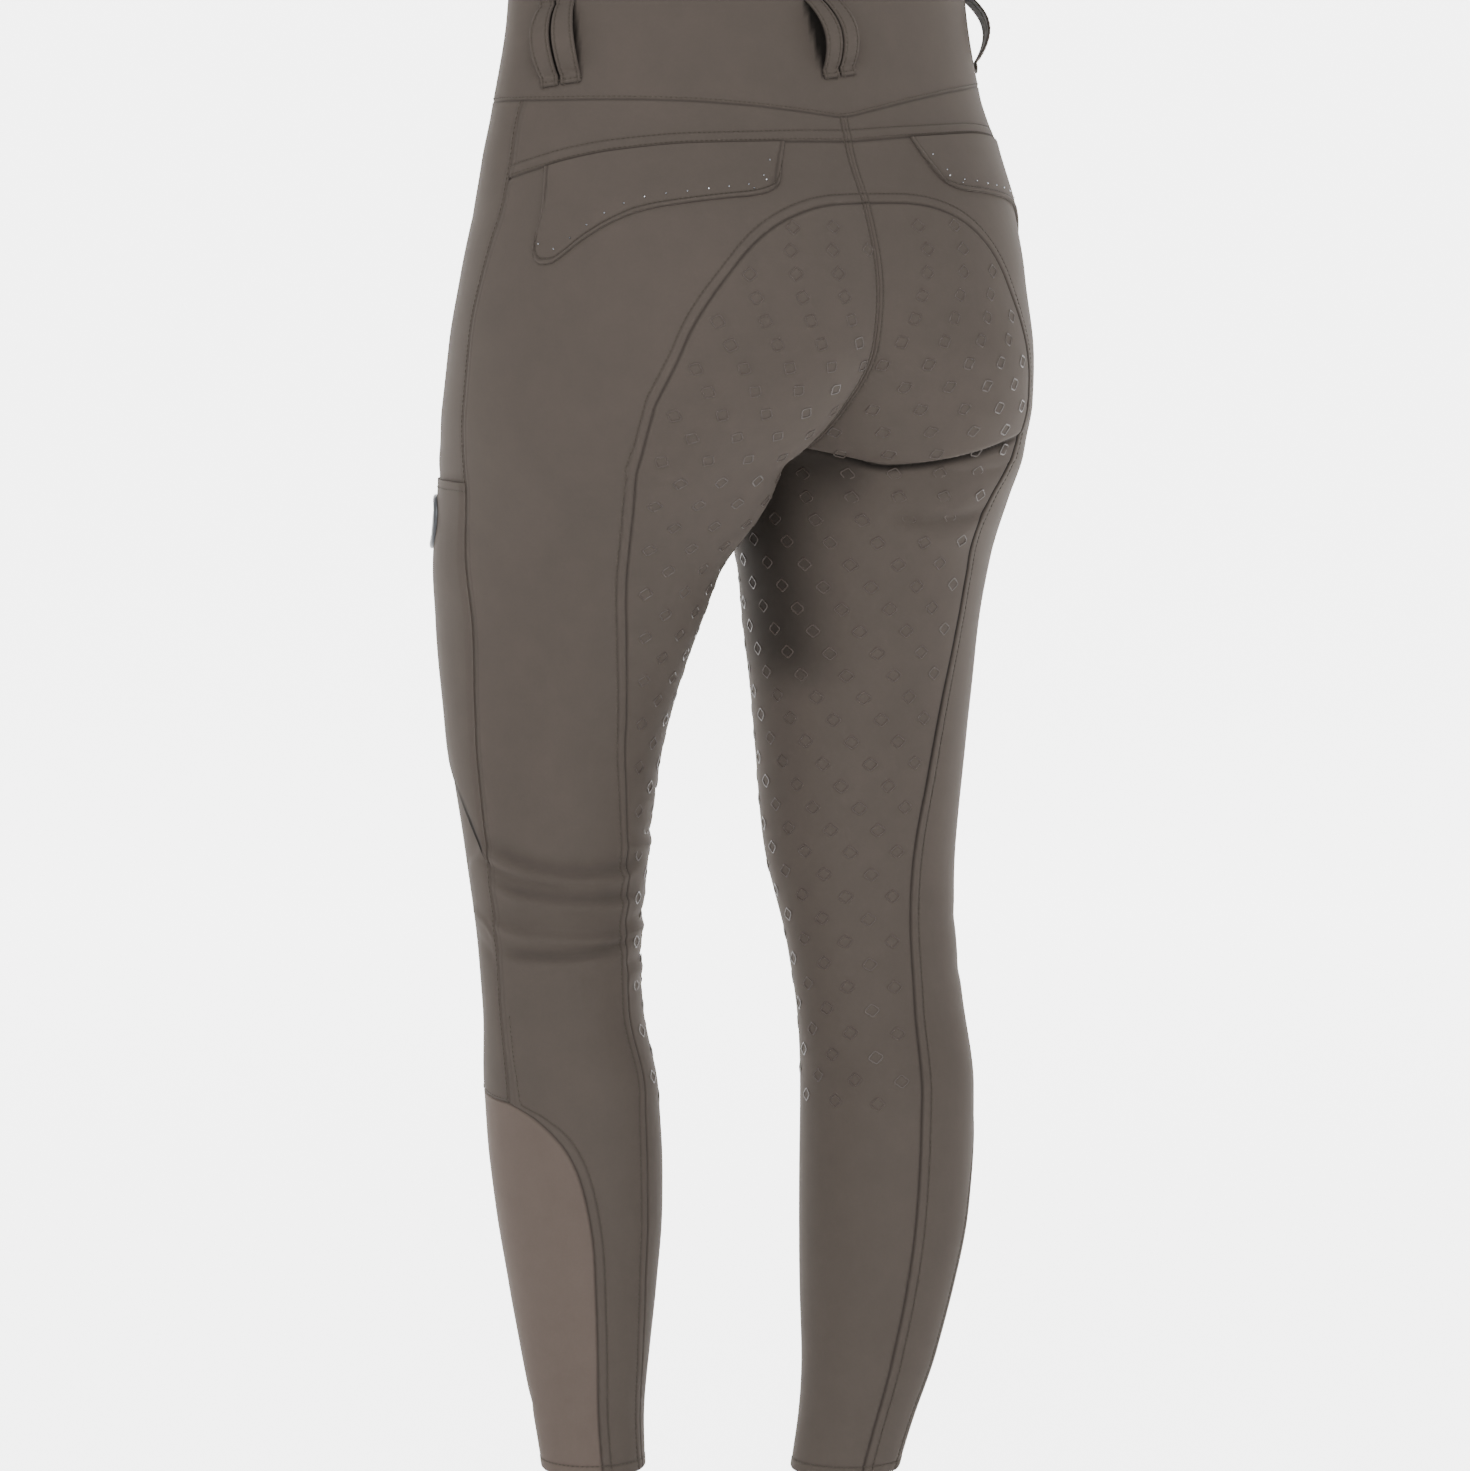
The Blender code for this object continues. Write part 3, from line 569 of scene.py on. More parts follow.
# where a deepened seam starts and fades, each with its run, and the share of it lost beyond
DEEPENED = (0.06, 0.14, 0.5, 0.2, 0.75)


@dataclass(frozen=True)
class Line:
    """A seam: rows of (share, height), with the work beside each."""

    rows: Array
    work: Array

    @staticmethod
    def of(rows: Array, work: Work) -> Line:
        """A seam that is worked one way all along."""
        return Line(rows, work.rows(len(rows)))

    def then(self, other: Line) -> Line:
        """This seam, carried on by one that starts where it ends."""
        rows = np.concatenate([self.rows, other.rows[1:]])
        return Line(rows, np.concatenate([self.work, other.work[1:]]))

    def worked(self, work: Work) -> Line:
        """The same seam, worked another way."""
        return Line.of(self.rows, work)

    def deepened(self, reach: float = 1.3, dark: float = 0.82) -> Line:
        """The same seam, wider and with darker painted shade from near its start to a little past
        its middle.

        Args:
            reach: half the width of its groove there.
            dark: share of its light that the groove loses there.

        Returns:
            The seam.
        """
        starts, start_run, fades, fade_run, lost = DEEPENED
        passed = np.linspace(0, 1, len(self.rows))
        kept = 1 - lost * ease((passed - fades) / fade_run)
        share = ease((passed - starts) / start_run) * kept
        work = self.work.copy()
        work[:, REACH] += (reach - work[:, REACH]) * share
        work[:, DARK] += (dark - work[:, DARK]) * share
        return Line(self.rows, work)

    def at(self, places: Array) -> Line:
        """The seam's rows at fractional row numbers.

        Args:
            places: the row numbers.

        Returns:
            The seam at those rows alone.
        """
        numbers = np.arange(len(self.rows))
        rows = np.stack([np.interp(places, numbers, column) for column in self.rows.T], -1)
        work = np.stack([np.interp(places, numbers, column) for column in self.work.T], -1)
        return Line(rows, work)


WAIST_SEAM = ((89, -62), (100, -57.5), (112, -53), (128, -49), (148, -47), (176, -46.5))
YOKE_SEAM = ((82, -77), (100, -75.5), (122, -75), (141, -78), (154, -83), (165, -89), (176, -95))
DOME_SEAM = (  # angle, height: from beside the centre back outwards and down
    (84, -114.5), (90, -116), (95, -119), (99.5, -123), (103.5, -128), (107.5, -135), (111, -143),
    (114.5, -153.5), (117.5, -164), (120, -176), (122, -190), (123.2, -205), (123.8, -220),
)
SEAT_SEAM = {  # height, angle; the bent leg and the straight one draw it differently
    Side.LEFT: (
        (-235, 124), (-255, 122), (-275, 119), (-304, 115.5), (-323, 113), (-342, 110.5),
        (-364, 107), (-387, 101.5), (-420, 92), (-467, 82), (-501, 76), (-524, 72.5), (-560, 69.5),
        (-600, 69), (-646, 72), (-680, 76.5), (-720, 78.5), (-766, 78), (-818, 73.5), (-864, 66.5),
        (-912, 61),
    ),
    Side.RIGHT: (
        (-235, 123), (-257, 119), (-270, 115), (-282, 111.5), (-300, 108), (-316, 107), (-330, 108),
        (-345, 109.5), (-364, 109), (-388, 106.5), (-424, 99.5), (-451, 94), (-476, 89.5),
        (-513, 82.5), (-551, 78.5), (-613, 73.5), (-658, 69.5), (-705, 68), (-754, 66), (-800, 65),
        (-845, 63), (-912, 63),
    ),
}
SIDE_SEAM = (  # height, angle
    (-46, 174), (-95, 176), (-140, 181), (-184, 185), (-257, 186), (-309, 182), (-355, 177),
    (-420, 172), (-467, 170.5), (-560, 171.5), (-674, 175),
)
CALF_SEAM = (  # angle, height
    (175, -674), (160, -680), (148, -689), (138, -701), (131, -717), (126, -740), (123, -770),
    (122, -814), (121, -860), (120, -912),
)


@dataclass(frozen=True)
class Seams:
    """Every seam of one half, close enough spaced to be read anywhere between its rows."""

    waist_top: float = 24
    waist_back: float = -62
    waist_front: float = -48
    yoke_back: float = -77
    seat_top: float = -114
    seat_middle: float = -190
    dome_height: float = -235
    knee_top: float = -464
    knee_bottom: float = -600
    calf_back: float = -668
    calf_side: float = -674
    calf_inner: float = -664
    hem: float = -912
    hip_rows: int = 72
    thigh_rows: int = 120
    crotch_rows: int = 72
    knee_rows: int = 72
    shin_rows: int = 24
    calf_rows: int = 72
    yoke_rows: int = 16
    crowding: float = 1.2
    crowd_reach: float = 30
    seam_share: float = 0.45
    fine_rows: int = 400

    def along(self, share: float, top: float, bottom: float, count: int) -> Array:
        """Heights spaced evenly along the line at a share, closer together near the crotch.

        Args:
            share: of the way round.
            top: the first height.
            bottom: the last.
            count: of the steps between.

        Returns:
            The heights.
        """
        fine = np.linspace(top, bottom, self.fine_rows + 1)
        points = FORM.points(Side.LEFT, FORM.angles(share, fine), fine)
        steps = np.linalg.norm(np.diff(points, axis=0), axis=-1)
        middles = (fine[1:] + fine[:-1]) / 2
        steps *= 1 + self.crowding * np.exp(-(((middles - FORM.crotch) / self.crowd_reach) ** 2))
        passed = np.concatenate([[0], np.cumsum(steps)])
        return np.interp(np.linspace(0, passed[-1], count + 1), passed, fine)

    @staticmethod
    def joined(*runs: Array) -> Array:
        """Runs of heights as one, each starting where the one before ends."""
        return np.concatenate([runs[0]] + [run[1:] for run in runs[1:]])

    @staticmethod
    def seam(angles: Array, heights: Array) -> Array:
        """Rows of (share, height) from angles and heights."""
        heights = np.broadcast_to(np.asarray(heights, float), np.shape(angles))
        return np.stack([FORM.shares(angles, heights), heights], -1)

    @staticmethod
    def edge(share: float, heights: Array) -> Array:
        """A centre or inner seam's rows of (share, height)."""
        return np.stack([np.full(len(heights), float(share)), heights], -1)

    def curve(self, rows: Sequence[Sequence[float]], count: int) -> Array:
        """A seam through rows of (angle, height), with places evenly spaced along it.

        Args:
            rows: its knots.
            count: of the steps along it.

        Returns:
            Rows of (share, height).
        """
        knots = np.array(rows, float)
        steps = np.hypot(np.diff(knots[:, 0]) * CREASES.arc, np.diff(knots[:, 1]))
        passed = np.concatenate([[0], np.cumsum(steps)])
        wanted = -np.linspace(0, passed[-1], count + 1)
        places = smooth_columns(np.column_stack([-passed, knots]), wanted)
        return self.seam(places[:, 0], places[:, 1])

    def lines(self, side: Side) -> dict[str, Line]:
        """One half's seams by name, worked plainly until a panel asks for another work.

        Args:
            side: the half.

        Returns:
            The seams.
        """
        lower = self.thigh_rows - self.crotch_rows
        knee = np.linspace(self.knee_top, self.knee_bottom, self.knee_rows + 1)
        shin = np.linspace(self.knee_bottom, self.calf_back, self.shin_rows + 1)
        calf_back = np.linspace(self.calf_back, self.hem, self.calf_rows + 1)
        thigh = self.along(self.seam_share, self.dome_height, self.knee_top, self.thigh_rows)
        seat = self.joined(thigh, knee, shin, calf_back)
        inner_thigh = self.along(0, FORM.crotch, self.knee_top, lower)
        inner_shin = np.linspace(self.knee_bottom, self.calf_inner, self.shin_rows + 1)
        inner_leg = self.joined(inner_thigh, knee, inner_shin)
        inner_calf = np.linspace(self.calf_inner, self.hem, self.calf_rows + 1)
        centre_top = np.linspace(self.seat_top, self.seat_middle, self.hip_rows + 1)
        centre_low = self.along(0, self.seat_middle, FORM.crotch, self.crotch_rows)
        centre = self.joined(centre_top, centre_low)
        front_rows = self.yoke_rows + self.crotch_rows
        front = self.along(1, self.waist_front, FORM.crotch, front_rows)
        side_shin = np.linspace(self.knee_bottom, self.calf_side, self.shin_rows + 1)
        side_thigh = np.linspace(YOKE_SEAM[-1][1], self.knee_top, self.thigh_rows + 1)
        outer = self.joined(side_thigh, knee, side_shin)
        yoke_start, waist_start = FORM.edges(self.yoke_back)[0], FORM.edges(self.waist_back)[0]
        yoke_angles = np.linspace(yoke_start, YOKE_SEAM[-1][0], self.hip_rows + 1)
        waist_angles = np.linspace(waist_start, SIDE_SEAM[0][1], self.hip_rows + 1)
        yoke = self.seam(yoke_angles, through(YOKE_SEAM, yoke_angles))
        waist = self.seam(waist_angles, through(WAIST_SEAM, waist_angles))
        t = np.linspace(0, 1, self.yoke_rows + 1)[:, None]
        seat_angles = through(SEAT_SEAM[side], seat)
        dome_top = (float(FORM.edges(np.array(self.seat_top))[0]), self.seat_top)
        dome_foot = (float(seat_angles[0]), self.dome_height)
        rows = {
            "dome": self.curve((dome_top, *DOME_SEAM, dome_foot), self.hip_rows),
            "seat": self.seam(seat_angles, seat),
            "centre_back": self.edge(0, centre),
            "inner_back": self.edge(0, self.joined(inner_leg, inner_calf)),
            "centre_front": self.edge(1, front),
            "inner_front": self.edge(1, inner_leg),
            "inner_calf": self.edge(1, inner_calf),
            "side": self.seam(through(SIDE_SEAM, outer), outer),
            "side_waist": waist[-1] * (1 - t) + yoke[-1] * t,
            "yoke": yoke,
            "waist": waist,
            "calf": self.curve(CALF_SEAM, self.calf_rows),
        }
        return {name: Line.of(line, Work.PLAIN) for name, line in rows.items()}


SEAMS = Seams()
LINES = {side: SEAMS.lines(side) for side in Side}


# ----------------------------------------
# Cloth: a grid of points with its distances from each border.


class Border(Enum):
    """The four borders of a grid."""

    FIRST = 0  # column 0
    LAST = 1
    TOP = 2  # row 0
    FOOT = 3


LAP = 0.01  # how far past the middle plane each half ends, so that no light comes through
NEAR = (0, 0.35, 0.8, 1.4, 2.0, 2.6, 3.4, 4.4, 5.3, 5.9, 6.5, 7.1, 7.8, 9.2)  # from a border
NEAR_SHARE = 0.4  # the most of a row that those places take up at one end
SPACING = 4.5  # between the others
LEAST_SQUARE = 0.25  # the least squareness that is reckoned with
EVENED = 6  # rows to each side that it is evened out over
PATH_ROOM = 1.3  # how many times its distance from a border a path needs as cloth
CLOTH_CREASE, SMALL_CREASE, DISC_CREASE = 55, 50, 40  # degrees from which an edge stays sharp
MERGE = 1e-6  # in metres
LEAST_LENGTH = 1e-6  # that a row is divided by


def new_object(name: str, data: Any) -> bpy.types.Object:
    """Put an object in the scene, at the origin.

    Args:
        name: the object's name.
        data: its mesh, lamp or camera.

    Returns:
        The object.
    """
    made = bpy.data.objects.new(name, data)
    bpy.context.scene.collection.objects.link(made)
    return made


def smooth(mesh: bpy.types.Mesh, crease: float) -> None:
    """Shade a mesh smooth, but for the edges that turn by more degrees than this."""
    mesh.shade_smooth()
    mesh.set_sharp_from_angle(angle=math.radians(crease))


def paint(mesh: bpy.types.Mesh, name: str, values: Array) -> None:
    """Give a mesh a named number at each of its points."""
    layer = mesh.attributes.new(name, "FLOAT", "POINT")
    layer.data.foreach_set("value", values.astype(np.float32).reshape(-1))


def quads(number: Array) -> Array:
    """The quads of a grid, from its points' numbers."""
    corners = number[:-1, :-1], number[:-1, 1:], number[1:, 1:], number[1:, :-1]
    return np.stack(corners, -1).reshape(-1, 4)


def lengths_along(points: Array, axis: int) -> Array:
    """Distances passed along one axis of a grid of points.

    Args:
        points: the grid.
        axis: 0 down its columns, 1 along its rows.

    Returns:
        The distances, 0 where each line starts.
    """
    steps = np.linalg.norm(np.diff(points, axis=axis), axis=-1)
    start = np.zeros_like(np.take(steps, [0], axis=axis))
    return np.concatenate([start, np.cumsum(steps, axis=axis)], axis=axis)


def slants(points: Array) -> tuple[Array, Array]:
    """How squarely each row meets the first and the last column, at most 1, evened out.

    Args:
        points: the grid.

    Returns:
        The first column's and the last's, row by row.
    """
    found = []
    count = 2 * EVENED + 1
    window = np.ones(count) / count
    for end, inner in ((0, 1), (-1, -2)):
        along = unit(np.gradient(points[:, end], axis=0))
        inwards = unit(points[:, inner] - points[:, end])
        cosine = (along * inwards).sum(-1)
        square = np.clip(np.sqrt(np.clip(1 - cosine**2, 0, 1)), LEAST_SQUARE, 1)
        found.append(np.convolve(np.pad(square, EVENED, mode="edge"), window, mode="valid"))
    return found[0], found[1]


def spread(lengths: Array, square_first: Array, square_last: Array, step: float) -> Array:
    """Shares along each row: close together at fixed distances from both ends, even between.

    Args:
        lengths: each row's length.
        square_first: how squarely it meets its first end.
        square_last: and its last.
        step: the spacing between, in millimetres.

    Returns:
        A row of shares for each length.
    """
    near = np.array(NEAR)
    count = max(3, round((lengths.max() - 2 * near[-1]) / step))
    safe = np.maximum(lengths, LEAST_LENGTH)
    first = near / square_first[:, None]
    last = near / square_last[:, None]
    first = first * np.minimum(1, NEAR_SHARE * safe / first[:, -1])[:, None] / safe[:, None]
    last = last * np.minimum(1, NEAR_SHARE * safe / last[:, -1])[:, None] / safe[:, None]
    t = np.linspace(0, 1, count + 1)[None, 1:-1]
    start, stop = first[:, -1:], 1 - last[:, -1:]
    return np.concatenate([first, start + (stop - start) * t, 1 - last[:, ::-1]], axis=1)


@dataclass
class Cloth:
    """Cloth as a grid of points on its surface, their normals and the work along its borders."""

    points: Array
    normals: Array
    works: dict[Border, Array] = field(default_factory=dict)
    painted_shade: Array | None = None  # painted shade: share of light lost to folds or belt loops
    under: float = 0.0  # share of its light that the inner side loses

    def __post_init__(self) -> None:
        """Measure how far each point lies from each border, and work the relief and painted shade.
        """
        rows, columns = lengths_along(self.points, 1), lengths_along(self.points, 0)
        square_first, square_last = slants(self.points)
        square_top, square_foot = slants(np.swapaxes(self.points, 0, 1))
        self.u, self.v = rows, columns
        self.away = {
            Border.FIRST: rows * square_first[:, None],
            Border.LAST: (rows[:, -1:] - rows) * square_last[:, None],
            Border.TOP: columns * square_top[None, :],
            Border.FOOT: (columns[-1:] - columns) * square_foot[None, :],
        }
        # painted shade: light lost in seam grooves and stitched lines, and in folds and behind
        # straps
        self.shade = np.zeros(rows.shape)
        raised = np.zeros(rows.shape)
        for border, work in self.works.items():
            upright = border in (Border.FIRST, Border.LAST)
            sizes = work[:, None, :] if upright else work[None]
            raised = raised + relief(sizes, self.away[border])
            self.shade = np.maximum(self.shade, shadow(sizes, self.away[border]))
        self.outer = self.points + self.normals * raised[..., None]
        if self.painted_shade is not None:
            self.shade = 1 - (1 - self.shade) * (1 - self.painted_shade)

    @property
    def area(self) -> float:
        """Its area, in square millimetres."""
        p = self.outer
        a, b, c, d = p[:-1, :-1], p[:-1, 1:], p[1:, 1:], p[1:, :-1]
        one = np.linalg.norm(np.cross(d - a, b - a), axis=-1)
        two = np.linalg.norm(np.cross(d - c, b - c), axis=-1)
        return float((one + two).sum() / 2)

    def path(
        self, border: Border, away: float, lift: float = 0.12, start: float = 0, stop: float = 1
    ) -> Array:
        """Points that follow a border at a distance from it.

        Args:
            border: the border to follow.
            away: the distance, in millimetres.
            lift: how far over the cloth.
            start: share of the border's rows at which the path starts.
            stop: and at which it stops.

        Returns:
            The points, without those where the cloth is too narrow for the path.
        """
        away_here, points = self.away[border], self.outer + self.normals * lift
        if border in (Border.TOP, Border.FOOT):
            away_here, points = away_here.T, np.swapaxes(points, 0, 1)
        if border in (Border.LAST, Border.FOOT):
            away_here, points = away_here[:, ::-1], points[:, ::-1]
        count = len(points)
        found = []
        for i in range(round(start * (count - 1)), round(stop * (count - 1)) + 1):
            if away_here[i, -1] < away * PATH_ROOM:
                continue
            found.append([np.interp(away, away_here[i], points[i, :, k]) for k in range(3)])
        return np.array(found)

    def faces(self) -> Array:
        """Quads of the closed wall: outer, inner, then the borders between them."""
        rows, columns = self.points.shape[:2]
        number = np.arange(rows * columns).reshape(rows, columns)
        count = rows * columns
        outer = quads(number)
        rings = [outer, outer[:, ::-1] + count]
        ends = (number[0], False), (number[-1], True)
        sides = (number[:, 0], True), (number[:, -1], False)
        for line, turned in ends + sides:
            near, far = (line[1:], line[:-1]) if turned else (line[:-1], line[1:])
            rings.append(np.stack([far, near, near + count, far + count], -1))
        return np.concatenate(rings)

    def on_its_side(self, grid: Array) -> Array:
        """The grid, held to the middle plane where the halves meet, and kept from crossing it.

        Args:
            grid: outer or inner points.

        Returns:
            The points, moved.
        """
        side, x = np.sign(self.points[..., 0]), grid[..., 0].copy()
        columns = ((np.s_[:, 0], np.s_[:, 1]), (np.s_[:, -1], np.s_[:, -2]))
        rows = ((np.s_[0], np.s_[1]), (np.s_[-1], np.s_[-2]))
        for edge, inside in columns + rows:
            side[edge] = side[inside]
            meets = np.abs(self.points[edge][:, 0]) < LAP
            x[edge] = np.where(meets, -LAP * side[edge], x[edge])
        held = grid.copy()
        right = np.where(side < 0, np.minimum(x, LAP), x)
        held[..., 0] = np.where(side > 0, np.maximum(x, -LAP), right)
        return held

    def make(self, name: str, thickness: float, material: bpy.types.Material) -> bpy.types.Object:
        """A wall of cloth as an object.

        Args:
            name: the object's name.
            thickness: of the cloth, in millimetres.
            material: its finish.

        Returns:
            The object, at the origin.
        """
        outer = self.on_its_side(self.outer)
        inner = self.on_its_side(self.points - self.normals * thickness)
        corners = np.concatenate([outer.reshape(-1, 3), inner.reshape(-1, 3)]) * MM
        faces = self.faces()
        mesh = bpy.data.meshes.new(name)
        mesh.from_pydata(corners.tolist(), [], faces.tolist())
        uv = np.stack([self.u, self.v], -1).reshape(-1, 2) * MM
        uv = np.concatenate([uv, uv])
        layer = mesh.uv_layers.new(name="cloth")
        layer.data.foreach_set("uv", uv[faces.reshape(-1)].astype(np.float32).reshape(-1))
        shade = self.shade.reshape(-1)
        paint(mesh, "shade", np.concatenate([shade, np.full_like(shade, self.under)]))
        shape = bmesh.new()
        shape.from_mesh(mesh)
        bmesh.ops.remove_doubles(shape, verts=shape.verts, dist=MERGE)
        if shape.calc_volume(signed=True) < 0:
            bmesh.ops.reverse_faces(shape, faces=shape.faces)
        shape.to_mesh(mesh)
        shape.free()
        smooth(mesh, CLOTH_CREASE)
        mesh.materials.append(material)
        return new_object(name, mesh)


class Panel:
    """A cut piece between two seams of one half."""

    busy: dict[Side, tuple[float, float]] = {  # heights between which the deepest folds lie
        Side.LEFT: (-606, -512),
        Side.RIGHT: (-332, -244),
    }
    crowd: float = 2.6  # how many times closer its rows lie on those folds
    probes: int = 25  # places along a row at which a panel is first measured
    probe_step: int = 6  # which of them its depth is read at

    def __init__(self, side: Side, first: Line, last: Line, lift: float = 0.0) -> None:
        """Lay a panel out between its first and last seams.

        Args:
            side: the half.
            first: the seam at column 0.
            last: the other.
            lift: how far over the surface it lies.
        """
        self.side, self.lift = side, lift
        even = np.linspace(0, 1, self.probes)[None, :]
        self.first, self.last = first, last
        probed = self.placed(even.repeat(len(first.rows), 0))[0]
        passed = lengths_along(probed[:, :: self.probe_step], 0).mean(axis=1)
        rows = np.interp(self.row_places(passed), passed, np.arange(len(passed)))
        self.first, self.last = first.at(rows), last.at(rows)
        coarse = self.placed(even.repeat(len(rows), 0))[0]
        shares = spread(lengths_along(coarse, 1)[:, -1], *slants(coarse), SPACING)
        self.points, self.normals = self.placed(shares)
        # the share of light lost to the folds, painted into the cloth's colour
        self.painted_shade = self.lost

    def row_places(self, passed: Array) -> Array:
        """Distances down the panel at which its rows lie, closer at its ends and on deep folds.

        Args:
            passed: distances at its seams' rows.

        Returns:
            The distances.
        """
        total, reach = passed[-1], NEAR[-1]
        heights = (self.first.rows[:, 1] + self.last.rows[:, 1]) / 2
        low, high = self.busy[self.side]
        closer = np.where((heights > low) & (heights < high), self.crowd, 1.0)
        weight = np.concatenate([[0], np.cumsum(np.diff(passed) * (closer[1:] + closer[:-1]) / 2)])
        start, stop = np.interp([reach, total - reach], passed, weight)
        count = max(3, round((stop - start) / SPACING))
        middle = np.interp(np.linspace(start, stop, count + 1), weight, passed)
        return np.concatenate([np.array(NEAR[:-1]), middle, total - np.array(NEAR[-2::-1])])

    def grid(self, t: Array) -> tuple[Array, Array]:
        """Angles and heights at shares t of the way along each row.

        Args:
            t: the shares.

        Returns:
            The angles and the heights.
        """
        first, last = self.first.rows[:, None], self.last.rows[:, None]
        rows = first * (1 - t[..., None]) + last * t[..., None]
        return FORM.angles(rows[..., 0], rows[..., 1]), rows[..., 1]

    def placed(self, t: Array) -> tuple[Array, Array]:
        """Points and normals at shares t of the way along each row.

        Args:
            t: the shares.

        Returns:
            The points and their normals.
        """
        angles, heights = self.grid(t)
        out = FORM.normals(self.side, angles, heights)
        rise, self.lost = CREASES.read(self.side, angles, heights)
        return FORM.points(self.side, angles, heights) + out * (rise + self.lift)[..., None], out

    def cloth(self, top: Work = Work.NONE, foot: Work | Array = Work.NONE) -> Cloth:
        """The panel's cloth, with the work along its four borders, one way or column by column."""
        works = {
            Border.FIRST: self.first.work,
            Border.LAST: self.last.work,
            Border.TOP: top.rows(),
            Border.FOOT: foot.rows() if isinstance(foot, Work) else foot,
        }
        return Cloth(self.points, self.normals, works, self.painted_shade)


class FrontPanel(Panel):
    """A front panel. Only its innermost columns swing in under the crotch."""

    front_angle: float = 270.0
    calm_power: float = 5.0

    def grid(self, t: Array) -> tuple[Array, Array]:
        """Angles and heights at shares t of the way along each row.

        Args:
            t: the shares.

        Returns:
            The angles and the heights.
        """
        first, last = self.first.rows, self.last.rows
        heights = first[:, 1:] * (1 - t) + last[:, 1:] * t
        side_angles = FORM.angles(first[:, 0], first[:, 1])[:, None]
        edge_angles = FORM.angles(last[:, 0], last[:, 1])[:, None]
        run = SEAMS.waist_front - FORM.crotch + FORM.inseam_run
        swing = ease((SEAMS.waist_front - last[:, 1:]) / run)
        calm = self.front_angle + (360 + FORM.inseam_angle - self.front_angle) * swing
        angles = side_angles * (1 - t) + calm * t + (edge_angles - calm) * t**self.calm_power
        return angles, heights


# ----------------------------------------
# Finishes


def linear(colour: str) -> tuple[float, float, float, float]:
    """A hex sRGB colour as linear red, green, blue and alpha."""
    parts = [int(colour[i : i + 2], 16) / 255 for i in (1, 3, 5)]
    return (*(c / 12.92 if c <= 0.04045 else ((c + 0.055) / 1.055) ** 2.4 for c in parts), 1.0)


Inputs = dict[int | str, Any]


def add(
    tree: bpy.types.NodeTree, kind: str, inputs: Inputs | None = None, **settings: Any
) -> Any:
    """Add a node.

    Args:
        tree: where to.
        kind: the node's type.
        inputs: values or output sockets for its inputs.
        settings: its own settings.

    Returns:
        The node.
    """
    node = tree.nodes.new(kind)
    for key, value in settings.items():
        setattr(node, key, value)
    for key, value in (inputs or {}).items():
        if isinstance(value, bpy.types.NodeSocket):
            tree.links.new(value, node.inputs[key])
        else:
            node.inputs[key].default_value = value
    return node


def new_material(name: str) -> tuple[bpy.types.Material, Any]:
    """An empty material and its Principled shader.

    Args:
        name: the material's name.

    Returns:
        The material and the shader's node.
    """
    material = bpy.data.materials.new(name)
    material.use_nodes = True
    return material, material.node_tree.nodes["Principled BSDF"]


WAVE = 20  # the wave texture's own factor on its scale


@dataclass(frozen=True)
class Jersey:
    """Bonded stretch jersey: dull, dense and close-knit, with a soft bloom where it turns away."""

    name: str
    colour: str
    shade: str
    roughness: float = 0.86
    sheen: float = 0.07
    rib_mm: float = 1.3  # wales are really 0.5 mm apart, too fine to show, so drawn coarser
    rib_depth_mm: float = 0.05
    mottle_mm: float = 28.0  # of the faint patches that handling leaves in such cloth
    mottle_share: float = 0.75  # of the change of colour; the fuzz has the rest
    fuzz_mm: float = 1.6  # of its short pile, drawn coarser too
    bump: float = 0.35
    specular: float = 0.14
    bloom: str = "#f0e2d4"

    def build(self) -> bpy.types.Material:
        """Make the material."""
        material, shader = new_material(self.name)
        tree = material.node_tree
        uv = add(tree, "ShaderNodeUVMap", uv_map="cloth").outputs["UV"]
        place = add(tree, "ShaderNodeTexCoord").outputs["Object"]
        patches = {"Vector": place, "Scale": 1 / (self.mottle_mm * MM), "Detail": 4.0}
        mottle = add(tree, "ShaderNodeTexNoise", {**patches, "Roughness": 0.6})
        pile = {"Vector": place, "Scale": 1 / (self.fuzz_mm * MM), "Detail": 2.0}
        fuzz = add(tree, "ShaderNodeTexNoise", pile)
        parts = {0: mottle.outputs["Fac"], 1: self.mottle_share}
        blend = add(tree, "ShaderNodeMath", parts, operation="MULTIPLY")
        parts = {0: fuzz.outputs["Fac"], 1: 1 - self.mottle_share, 2: blend.outputs[0]}
        both = add(tree, "ShaderNodeMath", parts, operation="MULTIPLY_ADD")
        tones = {"Factor": both.outputs[0], 6: linear(self.shade), 7: linear(self.colour)}
        colour = add(tree, "ShaderNodeMix", tones, data_type="RGBA")
        # painted shade: the colour is scaled down by the cloth's 'shade' attribute
        sunk = add(tree, "ShaderNodeAttribute", attribute_name="shade")
        turned = {"Value": sunk.outputs["Fac"], "To Min": 1.0, "To Max": 0.0}
        lit = add(tree, "ShaderNodeMapRange", turned).outputs["Result"]
        scaled = {0: colour.outputs[2], "Scale": lit}
        shaded = add(tree, "ShaderNodeVectorMath", scaled, operation="SCALE")
        wave = {"Vector": uv, "Scale": 1 / (self.rib_mm * MM) / WAVE, "Distortion": 0.6}
        ribs = add(tree, "ShaderNodeTexWave", {**wave, "Detail": 1.0}, bands_direction="X")
        parts = {0: ribs.outputs["Fac"], 1: 0.5, 2: fuzz.outputs["Fac"]}
        bumps = add(tree, "ShaderNodeMath", parts, operation="MULTIPLY_ADD")
        depth = {"Strength": self.bump, "Distance": self.rib_depth_mm * MM}
        bump = add(tree, "ShaderNodeBump", {"Height": bumps.outputs[0], **depth})
        tree.links.new(shaded.outputs[0], shader.inputs["Base Color"])
        tree.links.new(bump.outputs["Normal"], shader.inputs["Normal"])
        shader.inputs["Roughness"].default_value = self.roughness
        shader.inputs["Sheen Weight"].default_value = self.sheen
        shader.inputs["Sheen Roughness"].default_value = 0.5
        shader.inputs["Sheen Tint"].default_value = linear(self.bloom)
        shader.inputs["Specular IOR Level"].default_value = self.specular
        return material


